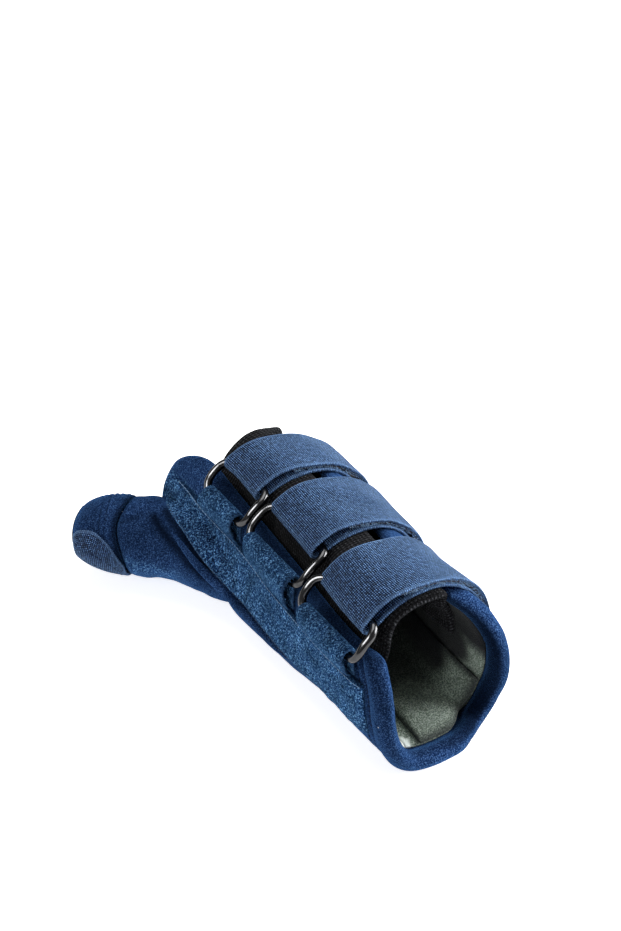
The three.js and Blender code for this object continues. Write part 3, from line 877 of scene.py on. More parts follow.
# for each y, the line down the thumb's side of the brace from the panel's top edge, in even steps
def layOutline():
    ys = np.linspace(*lay["ys"])
    steps = np.linspace(*lay["steps"])
    lines = []
    for y in ys:
        centre = np.array([sectionAt("midX", y), sectionAt("midZ", y)])
        edge = wallPoint(panelAt("top", y), y, halfWall)
        start = math.atan2(edge[2] - centre[1], edge[0] - centre[0]) % (2 * math.pi)
        turn = start + np.linspace(*lay["turn"])
        way = np.stack([np.cos(turn), np.sin(turn)], -1)
        out = wallReach(way[:, 0], way[:, 1], y) + halfWall + swellAt(np.degrees(turn), y)
        if y > lay["thumbFrom"]:
            far = np.arange(*lay["rays"])
            spots = np.empty((len(turn), len(far), 3))
            spots[..., 0] = centre[0] + way[:, :1] * far
            spots[..., 1] = y
            spots[..., 2] = centre[1] + way[:, 1:] * far
            thumbOut = np.where(insideThumb(spots), far[None], 0).max(1)
            out = lay["blend"] * np.logaddexp(out / lay["blend"], thumbOut / lay["blend"])
        line = centre + way * out[:, None]
        line[:, 1] = np.maximum(line[:, 1], lay["floor"])
        lines.append(pointsAlong(line, distanceAlong(line), steps))
    lines = np.array(lines)
    smoothed(lines.swapaxes(0, 1), lay["evenDown"])
    smoothed(lines, lay["evenAlong"])
    ahead = np.gradient(lines, axis=1)
    normal = np.stack([ahead[..., 1], -ahead[..., 0]], -1)
    return ys, steps, lines, normal / np.linalg.norm(normal, axis=-1)[..., None]


layYs, laySteps, layLines, layNormals = layOutline()


def layPoint(y, down, height):
    y, down, height = together(y, down, height)
    j = np.clip((y - layYs[0]) / (layYs[1] - layYs[0]), 0, len(layYs) - 1.001)
    i = np.clip((down - laySteps[0]) / (laySteps[1] - laySteps[0]), 0, len(laySteps) - 1.001)
    row = j.astype(int)
    column = i.astype(int)
    a = (j - row)[..., None]
    b = (i - column)[..., None]

    def mixed(grid):
        near = blendTo(grid[row, column], grid[row, column + 1], b)
        return blendTo(near, blendTo(grid[row + 1, column], grid[row + 1, column + 1], b), a)

    spot = mixed(layLines) + mixed(layNormals) * height[..., None]
    return np.stack([spot[..., 0], y, spot[..., 1]], -1)


# lines of the creases beside the roll at the panel's lower edge
def creaseLines():
    y = np.linspace(84, 183, 130)
    return [layPoint(y, panelAt("reach", y) + beyond, 0.0) for beyond in panel["creases"]]


panelCreases = creaseLines()


# how close points are to the panel's creases, for the painted shade along them
def creaseAt(points, wide):
    flat = points.reshape(-1, 3)
    nearest = np.full(len(flat), np.inf)
    for line in panelCreases:
        nearest = np.minimum(nearest, ((flat[:, None] - line[None]) ** 2).sum(-1).min(1))
    return np.exp(-nearest / wide**2).reshape(points.shape[:-1])


# Sleeve shell: foam and velour, with a rolled rim at the forearm end
shell = {
    "edge": 6.0,  # rounding of the edges, in mm
    "rim": 10.5,
    "rimProud": 0.9,
    "rimTurnIn": 1.4,
    "rimTill": (6.0, 11.6),
    "rimSteps": [(0, 0.012, 5), (0.012, 0.1, 26)],
    "stepsAround": (190, 0.03, 7),
    "stepsAlong": (110, 0.03, 6),
    "grooves": [(11.6, 1.0, 1.1), (16.4, 0.9, 0.6)],  # distance from the rim, half width, depth
    "folds": 0.45,
    "waves": [(0.6, 42, 3), (0.3, 17, 4)],
    "floor": 0.05,
    "loops": 0.8,
    "shade": {"crease": 0.8, "rim": 0.74, "nearLeft": 0.3, "slot": 0.72},
}


def shellHeights(u, v):
    edge = shell["edge"]
    long = sleeveY(u, 1.0) - sleeveY(u, 0.0)
    fromRim = v * long
    hem = shell["rimTurnIn"] * fade(fromRim, *shell["rimTill"])
    full = quarterRound(np.minimum(fromRim, (1 - v) * long), edge, 0.1)
    full = full * quarterRound(fromSlot(u), edge, 0.1)
    swell = np.sin(math.pi * np.clip(fromRim / shell["rim"], 0, 1)) ** 0.8
    outer = -hem + (halfWall + hem) * full + shell["rimProud"] * swell * full
    for at, width, depth in shell["grooves"]:
        outer = outer - depth * dip(fromRim, at, width) * full
    return outer, -hem - (halfWall + hem) * full


def makeShell():
    vs = [np.linspace(*steps)[:-1] for steps in shell["rimSteps"]]
    turnSteps = shell["stepsAlong"][2]
    vs.append(spread(*shell["stepsAlong"])[turnSteps:] * 0.9 + 0.1)
    vs = np.unique(np.round(np.concatenate(vs), 6))
    u, v = np.meshgrid(spread(*shell["stepsAround"]), vs)
    outer, inner = shellHeights(u, v)
    middle = sleevePoint(u, v, 0.0)
    lifted = ease(middle[..., 2], 4.0, 14.0)
    outer = outer + lifted * shell["folds"] * uneven(middle, shell["waves"])
    outside = sleevePoint(u, v, outer)
    outside[..., 2] = np.maximum(outside[..., 2], shell["floor"])
    y = sleeveY(u, v)
    angle = sleeveAngle(u, y)
    panelTop = panelAt("top", y)
    loops = ease(y, 142, 166) * fade(angle, 200, 220) * ease(angle, panelTop - 3, panelTop + 1)
    fromRim = y - sleeveY(u, 0.0)
    # painted shade: the rim's turned-in inner face is darker, most on the right side, as are the places in
    # the shades below
    rightSide = ease(u, 0.47, 0.62)
    inStart = blendTo(1.2, -0.5, rightSide)
    inEnd = blendTo(4.5, 1.5, rightSide)
    turnedInShade = ease(fromRim, inStart, inEnd) * blendTo(0.4, 1.0, rightSide)
    shades = {
        "crease": creaseAt(outside, 2.3),
        "rim": fade(fromRim, 0.6, 4.6) * rightSide * fade(u, 0.86, 0.93),
        "nearLeft": fade(u, 0.25, 0.42) * fade(fromRim, 14, 26),
        "slot": fade(u, 0.005, 0.09) * ease(y, 26, 46) * fade(y, 160, 174),
    }
    shaded = np.maximum.reduce([shell["shade"][where] * much for where, much in shades.items()])
    marks = {"shaded": (shaded, turnedInShade), "loopPatch": (shell["loops"] * loops, np.zeros_like(u))}
    piece = shellPiece("sleeveShell", outside, sleevePoint(u, v, inner), marks=marks)
    cutBy(piece, thumbPlug())
    dress(piece, velour, "velour", "sleeve_shell")


makeShell()
print("sleeve shell made")

# Lining and the pocket of the stay
liner = {
    "stepsAcross": (110, 0.03, 3),
    "stepsAlong": (90, 0.02, 3),
    "around": 0.04,
    "along": 0.055,
    "top": -3.7,
    "thick": 1.5,
    "inset": 0.25,
    "thumb": 0.3,  # middle of the notch that leaves the thumb's way free
    "notch": 0.2,
    "lip": 0.014,  # how much deeper the lining starts where the rim turns in widest
    "lipAt": 0.622,
    "lipWide": 0.05,
    "seam": 0.395,
    "deepWaves": [(2.5, 18, 22)],
    # how dark the painted shade gets on the left side and along the seams
    "leftDeep": 0.72,
    "seamDeep": 0.85,
}
pocket = {
    "stepsAcross": (70, 0.12, 8),
    "stepsAlong": (70, 0.06, 6),
    "from": 0.47,
    "to": 0.83,
    "near": 0.05,
    "far": 0.9,
    "base": -5.9,
    "full": 3.0,
    "waves": [(0.3, 22, 11)],
    "groove": 0.5,
}


def lipAt(around):
    return liner["lip"] * dip(around, liner["lipAt"], liner["lipWide"])


def makeLining():
    u, v, full = softGrid(liner)
    around = blendTo(liner["around"], 1 - liner["around"], u)
    notch = liner["notch"] * fade(np.abs(around - liner["thumb"]), 0.055, 0.14)
    along = blendTo(liner["along"] + lipAt(around), 1 - liner["along"] - notch, v)
    middle = sleevePoint(around, along, liner["top"])
    thick = liner["thick"] * (0.4 + 0.6 * full) + liner["inset"] * (1 + drift(middle, 24, 8))
    seam = dip(around, liner["seam"], 0.006)
    inner = liner["top"] - thick + 0.8 * seam
    # pale fluff and painted light on the lining near the rim, left of the pocket
    pale = ease(dip(middle[..., 1], 9, 9) * dip(around, 0.4, 0.04) + 0.15 * drift(middle, 5, 21), 0.3, 0.55)
    # painted shade: darker deeper inside the sleeve, soonest on the right wall, and along the seam
    depth = middle[..., 1] + uneven(middle, liner["deepWaves"]) + 17 * ease(around, 0.78, 0.85)
    deepShade = ease(depth, 37, 46) * blendTo(liner["leftDeep"], 1.0, ease(around, 0.76, 0.84))
    deepShade = np.maximum.reduce([deepShade, ease(around, 0.858, 0.874), liner["seamDeep"] * seam])
    marks = {"pale": pale, "deepShade": deepShade}
    piece = shellPiece("sleeveLining", middle, sleevePoint(around, along, inner), marks=marks)
    dress(piece, lining, "lining", "sleeve_lining")


def makePocket():
    u, v, full = softGrid(pocket, 0.05)
    around = blendTo(pocket["from"], pocket["to"], u)
    along = blendTo(pocket["near"] + lipAt(around), pocket["far"], v)
    base = pocket["base"]
    middle = sleevePoint(around, along, base)
    full = pocket["full"] * (0.12 + 0.88 * full)
    full = full + uneven(middle, pocket["waves"]) * roundOver(u, pocket["stepsAcross"][1], 0.0)
    full = full - pocket["groove"] * dip(v, 0.055, 0.008)
    # painted shade: darker deeper inside the sleeve and along the pocket's seams
    depth = middle[..., 1] + uneven(middle, liner["deepWaves"]) + 9 * ease(around, 0.7, 0.83)
    deepShade = ease(depth, 36, 48) * blendTo(liner["leftDeep"], 1.0, ease(around, 0.7, 0.8))
    seams = np.maximum(dip(np.minimum(u, 1 - u), 0, 0.03), dip(v, 0, 0.02))
    deepShade = np.maximum(deepShade, liner["seamDeep"] * seams)
    marks = {"pale": np.zeros_like(u), "deepShade": deepShade}
    piece = shellPiece("stayPocket", middle, sleevePoint(around, along, base - full), marks=marks)
    dress(piece, lining, "lining", "stay_pocket")


makeLining()
makePocket()
print("lining made")


# Plush side panel

def panelPoint(u, v, height):
    corner = panel["corner"] * (1 - quarterRound(np.minimum(u, 1 - u) * panel["span"], panel["corner"]))
    end = panel["y"][-1] - panel["farSlant"] * (1 - u) - corner
    y = blendTo(blendTo(panel["nearTop"], panel["nearLow"], u), end, v)
    sunk = 0.9 * fade(v, 0, 0.04) + 1.1 * ease(v, 0.86, 1.0)
    return layPoint(y, panelAt("reach", y) * u, panel["lift"] - sunk + height)


def makePanel():
    u, v, full = softGrid(panel)
    middle = panelPoint(u, v, 0.0)
    half = panel["thick"] / 2 * full
    outside = panelPoint(u, v, half + full * panel["lumps"] * uneven(middle, panel["waves"]))
    marks = {"shaded": 0.85 * fade(u, 0.02, 0.1)}
    piece = shellPiece("sidePanel", outside, panelPoint(u, v, -half), marks=marks)
    dress(piece, plush, "plush", "side_panel")
    grow("panelPile", gridBase(outside[:, 9:-6]), fibres, "plush", Fibre=plush, **panel["pile"])


makePanel()
print("side panel made")

# Straps, rings, hook patches and tabs
straps = {
    "forearm": {
        "y": 44.5, "width": 40, "shoulder": 0.0, "fold": 130.5, "tilt": 2.5,
        "room": 2.5, "ringTop": 128, "topHeight": 8.0, "ringLow": 153, "lowHeight": 10,
    },
    "wrist": {
        "y": 100.5, "width": 42, "shoulder": 1.7, "fold": 121, "tilt": 0.8,
        "room": 1.2, "ringTop": 118, "topHeight": 8.0, "ringLow": 147.5, "lowHeight": 10,
    },
    "hand": {
        "y": 148.75, "width": 30.5, "shoulder": 2.2, "fold": 121.5, "tilt": 1.5,
        "room": 3.5, "ringTop": 120, "topHeight": 8.0, "ringLow": 147, "lowHeight": 10,
    },
}
band = {
    "steps": (34, 0.03, 4),
    "count": 230,
    "even": 5,
    "thick": 1.6,
    "lower": 4.15,
    "upper": 7.45,
    "anchor": -28,
    "end": -14,
    "gap": 0.35,
    "clear": 9,
    "shoulderAt": 22,
    "shoulderWide": 34,
    "selvage": 0.7,
}
hooks = {
    "steps": (20, 0.03, 2),
    "count": 120,
    "from": 26,  # degrees past the strap's fold
    "to": 12,
    "below": 1.65,
    "over": 0.5,
    "under": 0.45,
    "dotsIn": 0.4,
    "dotsDown": (0.7, 1.6, 2.5),
    "dots": {"Density": 1400000.0, "Length": 0.0011, "Width": 0.00028, "Lean": 0.7},
}
rings = {"wire": 4.0, "slip": 1.5, "corner": 6.2, "bow": 2.6, "sides": 20, "count": 120}
tabs = {
    "steps": (44, 0.04, 5),
    "count": 120,
    "even": 4,
    "thick": 2.0,
    "lay": 3.6,
    "sewn": 0.55,  # share of the thickness left at the seam
    "clear": 4,
    "overPanel": 1.8,
    # painted shade: the whole tab is made this much darker
    "tint": -0.28,
    "pile": {"Density": 750000.0, "Length": 0.0013, "Width": 0.0002, "Lean": 0.85},
}
narrower = 2  # hook patches and tabs are this much narrower than their strap


def ringBar(strap, end):
    return wallPoint(strap["ring" + end], strap["y"], strap[end.lower() + "Height"])


# from the middle of a ring's wire to the middle of a cloth that goes round it
def roundWire(thick):
    return rings["wire"] / 2 + band["gap"] + thick / 2


# points round a bar, from the side facing the wrist to the side facing away
def roundBar(bar, degrees, radius, side):
    out = wallPoint(degrees, bar[1], 1.0) - wallPoint(degrees, bar[1], 0.0)
    beside = np.array([-out[2], 0, out[0]]) * side
    turn = np.linspace(0, math.pi, 22)[:, None]
    return bar - out * radius * np.cos(turn) + beside * radius * np.sin(turn)


# where the strap turns back, a little lower at the near edge
def foldAt(strap, y):
    return strap["fold"] + strap["tilt"] * (strap["y"] - y) * 2 / strap["width"]


def upperHeight(strap, degrees, foldAngle):
    atRing = strap["topHeight"] + roundWire(band["thick"])
    shoulder = fade(np.abs(degrees - band["shoulderAt"]), 0, band["shoulderWide"])
    height = blendTo(atRing, band["upper"], ease(foldAngle - degrees, 12, 50))
    return height + strap["shoulder"] * shoulder


def strapLine(strap, y):
    foldAngle = foldAt(strap, y)
    lower = np.linspace(band["anchor"], foldAngle - band["clear"], 60)
    upper = np.linspace(foldAngle - band["clear"], band["end"], 70)
    bar = wallPoint(foldAngle, y, strap["topHeight"])
    parts = [
        wallPoint(lower, y, band["lower"]),
        roundBar(bar, foldAngle, roundWire(band["thick"]), 1),
        wallPoint(upper, y, upperHeight(strap, upper, foldAngle)),
    ]
    return np.concatenate(parts)


def tabLine(strap, y):
    laid = tabs["lay"]
    radius = roundWire(tabs["thick"])
    share = np.linspace(0, 1, 24)
    degrees = blendTo(panelAt("top", y) - tabs["overPanel"], strap["ringLow"] + tabs["clear"], share)
    inner = wallPoint(degrees, y, blendTo(laid, strap["lowHeight"] - radius, share))
    laidOver = laid + tabs["thick"] * 0.6
    outer = wallPoint(degrees, y, blendTo(laidOver, strap["lowHeight"] + radius, share**0.6))[::-1]
    fold = roundBar(ringBar(strap, "Low"), strap["ringLow"], radius, -1)
    fold[:, 1] = y
    return np.concatenate([inner, fold, outer])


# grids of a band `width` wide that follows lineOf(y), with even steps and its kinks eased
def bandGrids(lineOf, y, width, shape):
    vs = spread(*shape["steps"])
    count = shape["count"]
    lines = []
    lengths = []
    for v in vs:
        line = lineOf(y + width * (v - 0.5))
        gone = distanceAlong(line)
        line = pointsAlong(line, gone, np.linspace(0, gone[-1], count))
        lines.append(smoothed(line, shape.get("even", 0)))
        lengths.append(gone[-1])
    lines = np.array(lines)
    length = float(np.mean(lengths))
    ahead = np.gradient(lines, axis=1)
    normal = np.stack([-ahead[..., 2], np.zeros_like(ahead[..., 0]), ahead[..., 0]], -1)
    normal /= np.linalg.norm(normal, axis=-1)[..., None]
    along, v = np.broadcast_arrays(np.linspace(0, 1, count)[None], vs[:, None])
    return lines, normal, along, v, length


def makeStrap(name, strap):
    width = strap["width"]
    lines, normal, along, v, length = bandGrids(lambda y: strapLine(strap, y), strap["y"], width, band)
    half = band["thick"] / 2 * roundOver(v, band["steps"][1], 0.25)
    wave = 0.25 * drift(lines, 30, 40 + len(name)) * ease(along, 0.55, 0.7)
    lines = lines + normal * wave[..., None]
    thick = normal * half[..., None]
    piece = shellPiece(
        f"strap.{name}", lines + thick, lines - thick, cloth=np.stack([along * length, v * width], -1),
        marks={"selvage": band["selvage"] * dip(np.minimum(v, 1 - v) * width, 0.7, 0.45)},
    )
    dress(piece, webbing, "webbing", f"strap_{name}")


def makeHookPatch(name, strap, seed):
    degrees = np.linspace(strap["fold"] - hooks["from"], hooks["to"], 60)

    def lineOf(y, down=hooks["below"]):
        return wallPoint(degrees, y, upperHeight(strap, degrees, foldAt(strap, y)) - down)

    width = strap["width"] - narrower
    lines, normal, along, v, length = bandGrids(lineOf, strap["y"], width, hooks)
    cloth = np.stack([along * length, v * width], -1)
    over = lines + normal * hooks["over"]
    piece = shellPiece(f"hookPatch.{name}", over, lines - normal * hooks["under"], cloth=cloth)
    dress(piece, hookTape, "hook", f"hook_{name}")
    nearEdge = strap["y"] - strap["width"] / 2 + hooks["dotsIn"]
    edge = gridBase(np.array([lineOf(nearEdge, down) for down in hooks["dotsDown"]]))
    grow(f"hookDots.{name}", edge, fibres, "hook", Seed=seed, Fibre=paleThread, **hooks["dots"])


def makeRing(name, strap):
    top = ringBar(strap, "Top")
    low = ringBar(strap, "Low")
    tall = np.linalg.norm(top - low) / 2
    up = (top - low) / np.linalg.norm(top - low)
    out = np.array([-up[2], 0, up[0]])
    long = (strap["width"] + strap["room"] + rings["wire"]) / 2
    corner = rings["corner"]
    line = []
    for quarter, (signY, signUp) in enumerate([(1, 1), (-1, 1), (-1, -1), (1, -1)]):
        for turn in np.linspace(quarter * math.pi / 2, (quarter + 1) * math.pi / 2, 9):
            alongY = signY * (long - corner) + corner * math.cos(turn)
            line.append((alongY, signUp * (tall - corner) + corner * math.sin(turn)))
    line = np.array([*line, line[0]])
    gone = distanceAlong(line)
    alongY, alongUp = pointsAlong(line, gone, np.linspace(0, gone[-1], rings["count"] + 1)[:-1]).T
    bow = rings["bow"] * (1 - (alongUp / tall) ** 2)
    path = (top + low) / 2 + up * alongUp[:, None] + out * bow[:, None]
    path[:, 1] = strap["y"] - rings["slip"] + alongY
    points, faces = sweptTube(path, rings["wire"] / 2, rings["sides"], True, out)
    dress(makePiece(f"ring.{name}", points, faces), wire, "wire", f"ring_{name}")


def makeTab(name, strap, seed):
    width = strap["width"] - narrower
    edge = tabs["steps"][1]
    lines, normal, along, v, length = bandGrids(lambda y: tabLine(strap, y), strap["y"], width, tabs)
    lumps = uneven(lines, [(0.25, 12, seed), (0.22, 4.0, seed + 1, 40)])
    sewn = blendTo(tabs["sewn"], 1.0, ease(np.minimum(along, 1 - along), 0.0, 0.2))
    half = tabs["thick"] / 2 * roundOver(v, edge, 0.2) * sewn
    raised = half + lumps * roundOver(v, edge, 0.0) * ease(along, 0.35, 0.5)
    outside = lines + normal * raised[..., None]
    marks = {
        "backing": np.where(v < 0.012, 0.8, 0.0),
        "shaded": 0.8 * ease(along, 0.94, 0.985),
        # painted shade over the whole tab
        "tint": np.full_like(v, tabs["tint"]),
    }
    piece = shellPiece(f"tab.{name}", outside, lines - normal * half[..., None], marks=marks)
    dress(piece, plush, "plush", f"tab_{name}")
    base = gridBase(outside[:, 50:113])
    grow(f"tabPile.{name}", base, fibres, "plush", Seed=seed, Fibre=plush, **tabs["pile"])


for order, (strapName, strapRow) in enumerate(straps.items()):
    makeStrap(strapName, strapRow)
    makeHookPatch(strapName, strapRow, 30 + order)
    makeRing(strapName, strapRow)
    makeTab(strapName, strapRow, 60 + 7 * order)
print("straps, rings and tabs made")

# Knitted tongue
tongue = {
    "stepsAcross": (120, 0.03, 5),
    "stepsAlong": (120, 0.02, 5),
    "near": 21,
    "back": 11,  # how far the near edge draws back on the right
    "dome": 16,  # how many degrees further right the far end stays up
    "far": 181,
    "left": 172,
    "right": 3,
    "crown": 1.2,
    "farCrown": 1.6,
    "tucked": -7.7,
    "thick": 3.6,
    "waves": [(0.35, 26, 51)],
    "fuzz": {"Density": 1500000.0, "Length": 0.0026, "Width": 0.00016, "Lean": 0.9, "Seed": 9},
}


def tonguePoint(u, y, height):
    degrees = blendTo(tongue["left"], tongue["right"], u)
    slotEdge = sectionAt("slotRight", y) + sleeve["flap"] - tongue["dome"] * ease(y, 170, 179)
    atFar = ease(y, 140, 178)
    rise = ease(u, 0.13 + 0.13 * atFar, 0.36 + 0.17 * atFar) * ease(degrees, slotEdge - 2, slotEdge + 15)
    crown = tongue["crown"] + tongue["farCrown"] * atFar
    return wallPoint(degrees, y, blendTo(tongue["tucked"], crown, rise) + height)


def makeTongue():
    u, v, full = softGrid(tongue)
    y = blendTo(tongue["near"] + tongue["back"] * ease(u, 0.52, 0.8), tongue["far"], v)
    middle = tonguePoint(u, y, 0.0)
    half = tongue["thick"] / 2 * full
    outside = tonguePoint(u, y, half + uneven(middle, tongue["waves"]))
    cloth = np.stack([distanceAlong(middle, 1), y], -1)
    piece = shellPiece("knitTongue", outside, tonguePoint(u, y, -half), cloth=cloth)
    dress(piece, knit, "knit", "tongue")
    grow("tongueFuzz", gridBase(outside[:9, 24:72]), fibres, "knit", Fibre=knit, **tongue["fuzz"])


makeTongue()
print("tongue made")

# Thumb sleeve, its strap and the strap's woven end
thumbShape = {
    "start": 0.06,
    "end": 0.94,
    "under": 0.012,
    "groove": 0.655,
    "bow": 0.05,
    "roll": 0.055,
    "rollDrop": 3.2,
    "wall": 5.0,
    "pinch": 1.3,
    "band": 4.0,
    "bandGap": 0.35,
    "neck": 2.0,
    "bulge": 1.2,
    "waves": [(0.45, 24, 71), (0.2, 11, 72)],
    "floor": 0.4,
    "loops": 0.5,
    "strapSteps": (40, 0.25, 9),
    "strapGap": 0.014,
    "ridges": 0.28,
    "ridgePace": 190,
    "tipShort": 0.025,
    "tipDrop": 4.0,
}


# height off the middle of the sleeve's wall, along the ray from the section's centre
def overWall(points):
    y = points[..., 1]
    dx = points[..., 0] - sectionAt("midX", y)
    dz = points[..., 2] - sectionAt("midZ", y)
    return np.hypot(dx, dz) * (1 - wallReach(dx, dz, y))


# where the thumb comes out of the sleeve, by the angle round the thumb
def thumbStart(degrees):
    least = thumbShape["start"]
    turn, t = np.meshgrid(degrees, np.linspace(least, 0.6, 260))
    start = np.where(overWall(thumbPoint(turn, t, 0.0)) < halfWall, t, least).max(0)
    for _ in range(3):
        start = 0.25 * np.roll(start, 1) + 0.5 * start + 0.25 * np.roll(start, -1)
    return start


# the groove between the thumb's sleeve and its strap bows towards the tip on the outer side
def grooveAt(degrees):
    return thumbShape["groove"] + thumbShape["bow"] * dip(degrees, 130, 46)


# the top of the thumb, where groove and roll run flat
def onTop(degrees):
    return dip(degrees, 66, 36)


def makeThumbSleeve():
    degrees = np.linspace(0, 360, 145)[:-1]
    start = thumbStart(degrees) - thumbShape["under"]
    shares = [np.linspace(0, 0.5, 50), np.linspace(0.5, 0.75, 70)[1:], np.linspace(0.75, 1, 12)[1:]]
    turn, s = np.meshgrid(degrees, np.concatenate(shares))
    t = blendTo(start[None], thumbShape["end"], s)
    middle = thumbPoint(turn, t, 0.0)
    groove = grooveAt(turn)
    pinch = thumbShape["pinch"] * ease(t, groove - 0.08, groove)
    neck = -thumbShape["band"] - thumbShape["bandGap"]
    isNeck = ease(t, groove, groove + 0.01)
    overRoll = np.clip((t - groove) / thumbShape["roll"] + 1, 0, 1)
    fall = thumbShape["rollDrop"] * (1 - np.sqrt(1 - overRoll**2))
    fall = fall * (1 - 0.85 * dip(turn, 250, 50)) * (1 - 0.9 * onTop(turn))
    outer = blendTo(thumbShape["bulge"] * dip(t, 0.57, 0.07) - fall, neck, isNeck)
    outer = outer + (1 - isNeck) * uneven(middle, thumbShape["waves"])
    inner = blendTo(-thumbShape["wall"] - pinch, neck - thumbShape["neck"], isNeck)
    outside = thumbPoint(turn, t, outer)
    outside[..., 2] = np.maximum(outside[..., 2], thumbShape["floor"])
    loops = ease(turn, 172, 190) * fade(turn, 290, 305) * ease(t, 0.3, 0.4) * (1 - isNeck)
    fold = dip(turn - (112 + (t - 0.585) * 140), 0, 4.5) * ease(t, 0.56, 0.6)
    shaded = np.maximum.reduce([dip(t, groove + 0.004, 0.018), 0.55 * fold, creaseAt(outside, 3.0)])
    none = np.zeros_like(loops)
    marks = {"loopPatch": (thumbShape["loops"] * loops, none), "shaded": (shaded, none)}
    piece = shellPiece("thumbSleeve", outside, thumbPoint(turn, t, inner), loop=True, marks=marks)
    dress(piece, velour, "velour", "thumb_sleeve")


# how much the strap draws in towards the thumb's tip, whose upper side ends sooner
def tipAt(degrees):
    return 1.0 - thumbShape["tipShort"] * dip(degrees, 70, 45)


def tipDrop(degrees, t):
    past = np.clip((t - tipAt(degrees) + 0.13) / 0.135, 0, 0.97)
    return thumbShape["tipDrop"] * (1 - np.sqrt(1 - past**2))


def makeThumbStrap():
    half = thumbShape["band"] / 2
    turn, v = np.meshgrid(np.linspace(0, 360, 161)[:-1], spread(*thumbShape["strapSteps"]))
    t = blendTo(grooveAt(turn) + thumbShape["strapGap"], tipAt(turn), v)
    full = roundOver(np.minimum(v, 0.5), 0.13, 0.08) * roundOver(np.maximum(v, 0.5), 0.25, 0.08)
    full = np.where(v < 0.5, blendTo(full, 1.0, 0.75 * onTop(turn) * ease(v, 0.0, 0.02)), full)
    middle = thumbPoint(turn, t, 0.0)
    ridge = np.sin(t * thumbShape["ridgePace"] + 1.2 * drift(middle, 30, 81))
    ridge = ridge * thumbShape["ridges"] * dip(v, 0.3, 0.28)
    drop = tipDrop(turn, t)
    outside = thumbPoint(turn, t, -half + (half + ridge + 0.35 * drift(middle, 22, 82)) * full - drop)
    inside = thumbPoint(turn, t, -half - half * full - 0.5 * drop)
    shaded = np.maximum(0.9 * dip(v, 0, 0.09), ease(-ridge, 0.1, 0.28) * 0.45)
    marks = {"shaded": (shaded, np.ones_like(shaded))}
    piece = shellPiece("thumbStrap", outside, inside, loop=True, marks=marks)
    dress(piece, velour, "velour", "thumb_strap")


hookTab = {
    "stepsAcross": (40, 0.04, 4),
    "stepsAlong": (40, 0.04, 4),
    "t": [0.652, 0.698, 0.738, 0.785, 0.84, 0.88, 0.917, 0.955, 0.985],
    "edge": [196, 176, 163, 154, 146.5, 145, 145.5, 148, 157],  # angle of the upper edge round the thumb
    "foot": 268,
    "lay": 1.15,
    "thick": 1.6,
    "seams": [(0.3, 0.38, 0.72), (0.52, 0.2, 0.5)],  # share across, and where the painted shade in each seam's groove runs from and to
    "selvage": 0.7,
    # how dark the painted shade in the seams' grooves gets
    "grooveShade": 0.85,
}


def hookTabPoint(u, v, height):
    t = blendTo(hookTab["t"][0], hookTab["t"][-1], v)
    turn = blendTo(curveThrough(hookTab, "t", "edge", t), hookTab["foot"], u)
    return thumbPoint(turn, t, hookTab["lay"] + height - tipDrop(turn, t))


def makeHookTab():
    u, v, full = softGrid(hookTab, 0.3)
    middle = hookTabPoint(u, v, 0.0)
    half = hookTab["thick"] / 2 * full
    across = distanceAlong(middle, 1)
    along = distanceAlong(middle, 0)
    # painted shade in patchy lines along the two sewn seams
    edge = np.minimum.reduce([across, along, along.max(0)[None] - along])
    grooveShade = [
        dip(u, at, 0.025) * ease(v, start, start + 0.06) * fade(v, end, end + 0.06)
        for at, start, end in hookTab["seams"]
    ]
    grooveShade = hookTab["grooveShade"] * np.maximum.reduce(grooveShade) * ease(drift(middle, 2.5, 88, 30), -0.6, 0.4)
    piece = shellPiece(
        "thumbHookTab", hookTabPoint(u, v, half), hookTabPoint(u, v, -half),
        cloth=np.stack([across, along], -1),
        marks={"selvage": hookTab["selvage"] * dip(edge, 0.6, 0.5), "grooveShade": grooveShade},
    )
    dress(piece, webbing, "webbing", "thumb_hook_tab")


welt = {
    "from": 84.0,
    "to": 172.0,
    "beyond": 4.9,
    "lift": 0.4,
    "thick": 2.8,
    "even": 8,
    "waves": [(0.3, 26, 91)],
    "out": [-0.8, -0.3, 0.5],
}


# the velour roll that runs out from under the panel's lower edge, over the root of the thumb
def makeWelt():
    y = np.linspace(welt["from"], welt["to"], 130)
    share = np.clip((y - welt["from"]) / (welt["to"] - welt["from"]), 0.0008, 0.9992)
    line = smoothed(layPoint(y, panelAt("reach", y) + welt["beyond"], welt["lift"]), welt["even"])
    radius = welt["thick"] * np.sqrt(np.sin(math.pi * share)) + uneven(line, welt["waves"])
    points, faces = sweptTube(line, np.maximum(radius, 0.05), 20, False, np.array(welt["out"]))
    piece = makePiece("panelWelt", points, faces)
    dress(piece, velour, "velour")


makeThumbSleeve()
makeThumbStrap()
makeHookTab()
makeWelt()
print("thumb made")

# Sewing: how far along each row runs, where it lies, and its stitches
sewing = {
    "panelTop": {
        "run": (0.01, 0.99, 240), "across": 0.045, "lift": 1.45, "thread": paleThread,
        "stitch": {"Pitch": 0.0024, "Length": 0.0023, "Thickness": 0.0004},
    },
    "panelLow": {
        "run": (0.25, 0.99, 180), "across": 0.97, "lift": 0.9, "thread": blueThread,
        "stitch": {"Pitch": 0.0026, "Length": 0.0021, "Thickness": 0.0005},
    },
    "hookTab": {"run": (0.12, 0.8, 80)},
    "rim": {"run": (0.04, 0.96, 300), "lift": 0.25},
    "seam": {"Pitch": 0.0026, "Length": 0.0019, "Thickness": 0.00045},
}


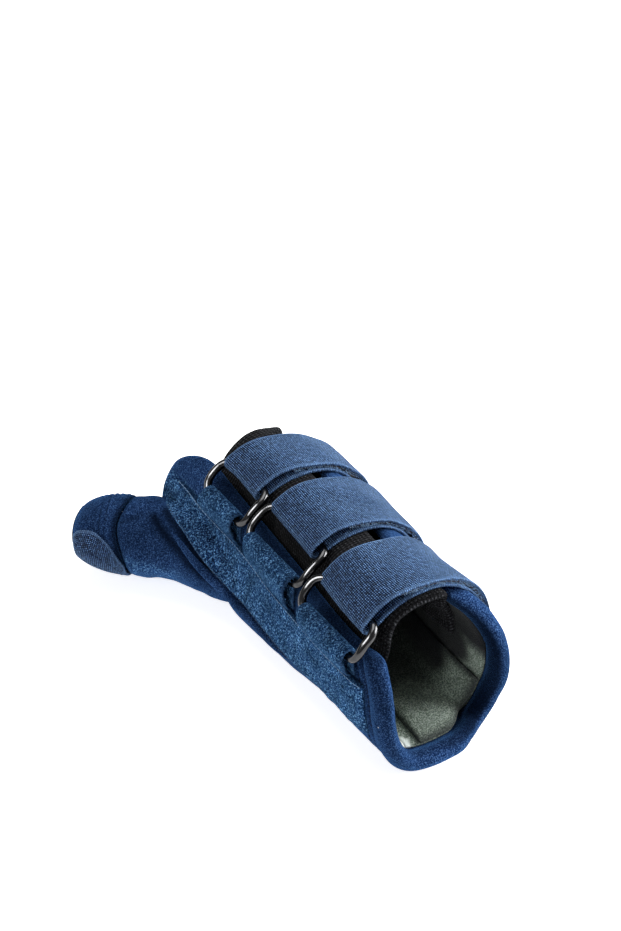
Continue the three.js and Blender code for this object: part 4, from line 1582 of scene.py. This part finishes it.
def makeSewing():
    for name in ("panelTop", "panelLow"):
        row = sewing[name]
        v = np.linspace(*row["run"])
        base = linesBase([panelPoint(np.full_like(v, row["across"]), v, row["lift"])])
        grow(f"{name}Stitches", base, stitchRow, "plush", Thread=row["thread"], **row["stitch"])
    v = np.linspace(*sewing["hookTab"]["run"])
    rows = [hookTabPoint(np.full_like(v, at), v, hookTab["thick"] / 2) for at, *_ in hookTab["seams"]]
    grow("hookTabStitches", linesBase(rows), stitchRow, "webbing", Thread=darkThread, **sewing["seam"])
    u = np.linspace(*sewing["rim"]["run"])
    long = sleeveY(u, 1.0) - sleeveY(u, 0.0)
    rows = []
    for at, _, depth in shell["grooves"]:
        rows.append(sleevePoint(u, at / long, halfWall - depth + sewing["rim"]["lift"]))
    grow("rimStitches", linesBase(rows), stitchRow, "velour", Thread=darkThread, **sewing["seam"])


makeSewing()
print("stitches made")

# Studio
studio = {
    "floor": 3.0,
    "paper": {
        "Roughness": 0.9,
        "Specular IOR Level": 0.1,
        "Base Color": (0.93, 0.93, 0.93),
        "Emission Color": (1, 1, 1),
        "Emission Strength": 0.78,
    },
    "world": 0.25,
    "camera": (-0.3272, -0.5522, 0.5527),
    "azimuth": -32.0,
    "elevation": 35.0,
    "lens": 65.73,
    "sensor": 36,
    "lights": {
        "top": {"at": (0.15, 0.3, 1.1), "size": 0.8, "power": 8.0},
        "side": {"at": (1.1, -0.5, 0.52), "size": 0.8, "power": 32.0},
        "front": {"at": (-0.9, -0.35, 0.85), "size": 0.5, "power": 2.0},
        "glint": {"at": (-0.75, 0.1, 0.8), "size": 0.6, "power": 22.0},  # for the wire only
    },
}


def aim(item, way):
    item.rotation_euler = way.to_track_quat("-Z", "Y").to_euler()


def makeFloor():
    half = studio["floor"]
    mesh = bpy.data.meshes.new("floor")
    corners = [(-half, -half, 0), (half, -half, 0), (half, half, 0), (-half, half, 0)]
    mesh.from_pydata(corners, [], [(0, 1, 2, 3)])
    mesh.materials.append(startMaterial("floorPaper", studio["paper"])[0])
    addObject("floor", mesh)


def makeLights():
    world = bpy.data.worlds.new("studio")
    world.use_nodes = True
    sky = world.node_tree.nodes["Background"].inputs
    sky[0].default_value = (1, 1, 1, 1)
    sky[1].default_value = studio["world"]
    bpy.context.scene.world = world
    for title, row in studio["lights"].items():
        light = bpy.data.lights.new(title, "AREA")
        light.energy = row["power"]
        light.size = row["size"]
        lamp = addObject(title, light)
        lamp.location = row["at"]
        lamp.visible_diffuse = title != "glint"
        aim(lamp, -Vector(row["at"]))


def makeCamera():
    scene = bpy.context.scene
    lens = bpy.data.cameras.new("camera")
    lens.lens = studio["lens"]
    lens.sensor_width = studio["sensor"]
    lens.clip_start = 0.01
    camera = addObject("camera", lens)
    camera.location = studio["camera"]
    azimuth = math.radians(studio["azimuth"])
    elevation = math.radians(studio["elevation"])
    level = math.cos(elevation)
    aim(camera, -Vector((math.sin(azimuth) * level, -math.cos(azimuth) * level, math.sin(elevation))))
    scene.camera = camera
    scene.view_settings.view_transform = "Standard"


makeFloor()
makeLights()
makeCamera()
bpy.context.view_layer.update()
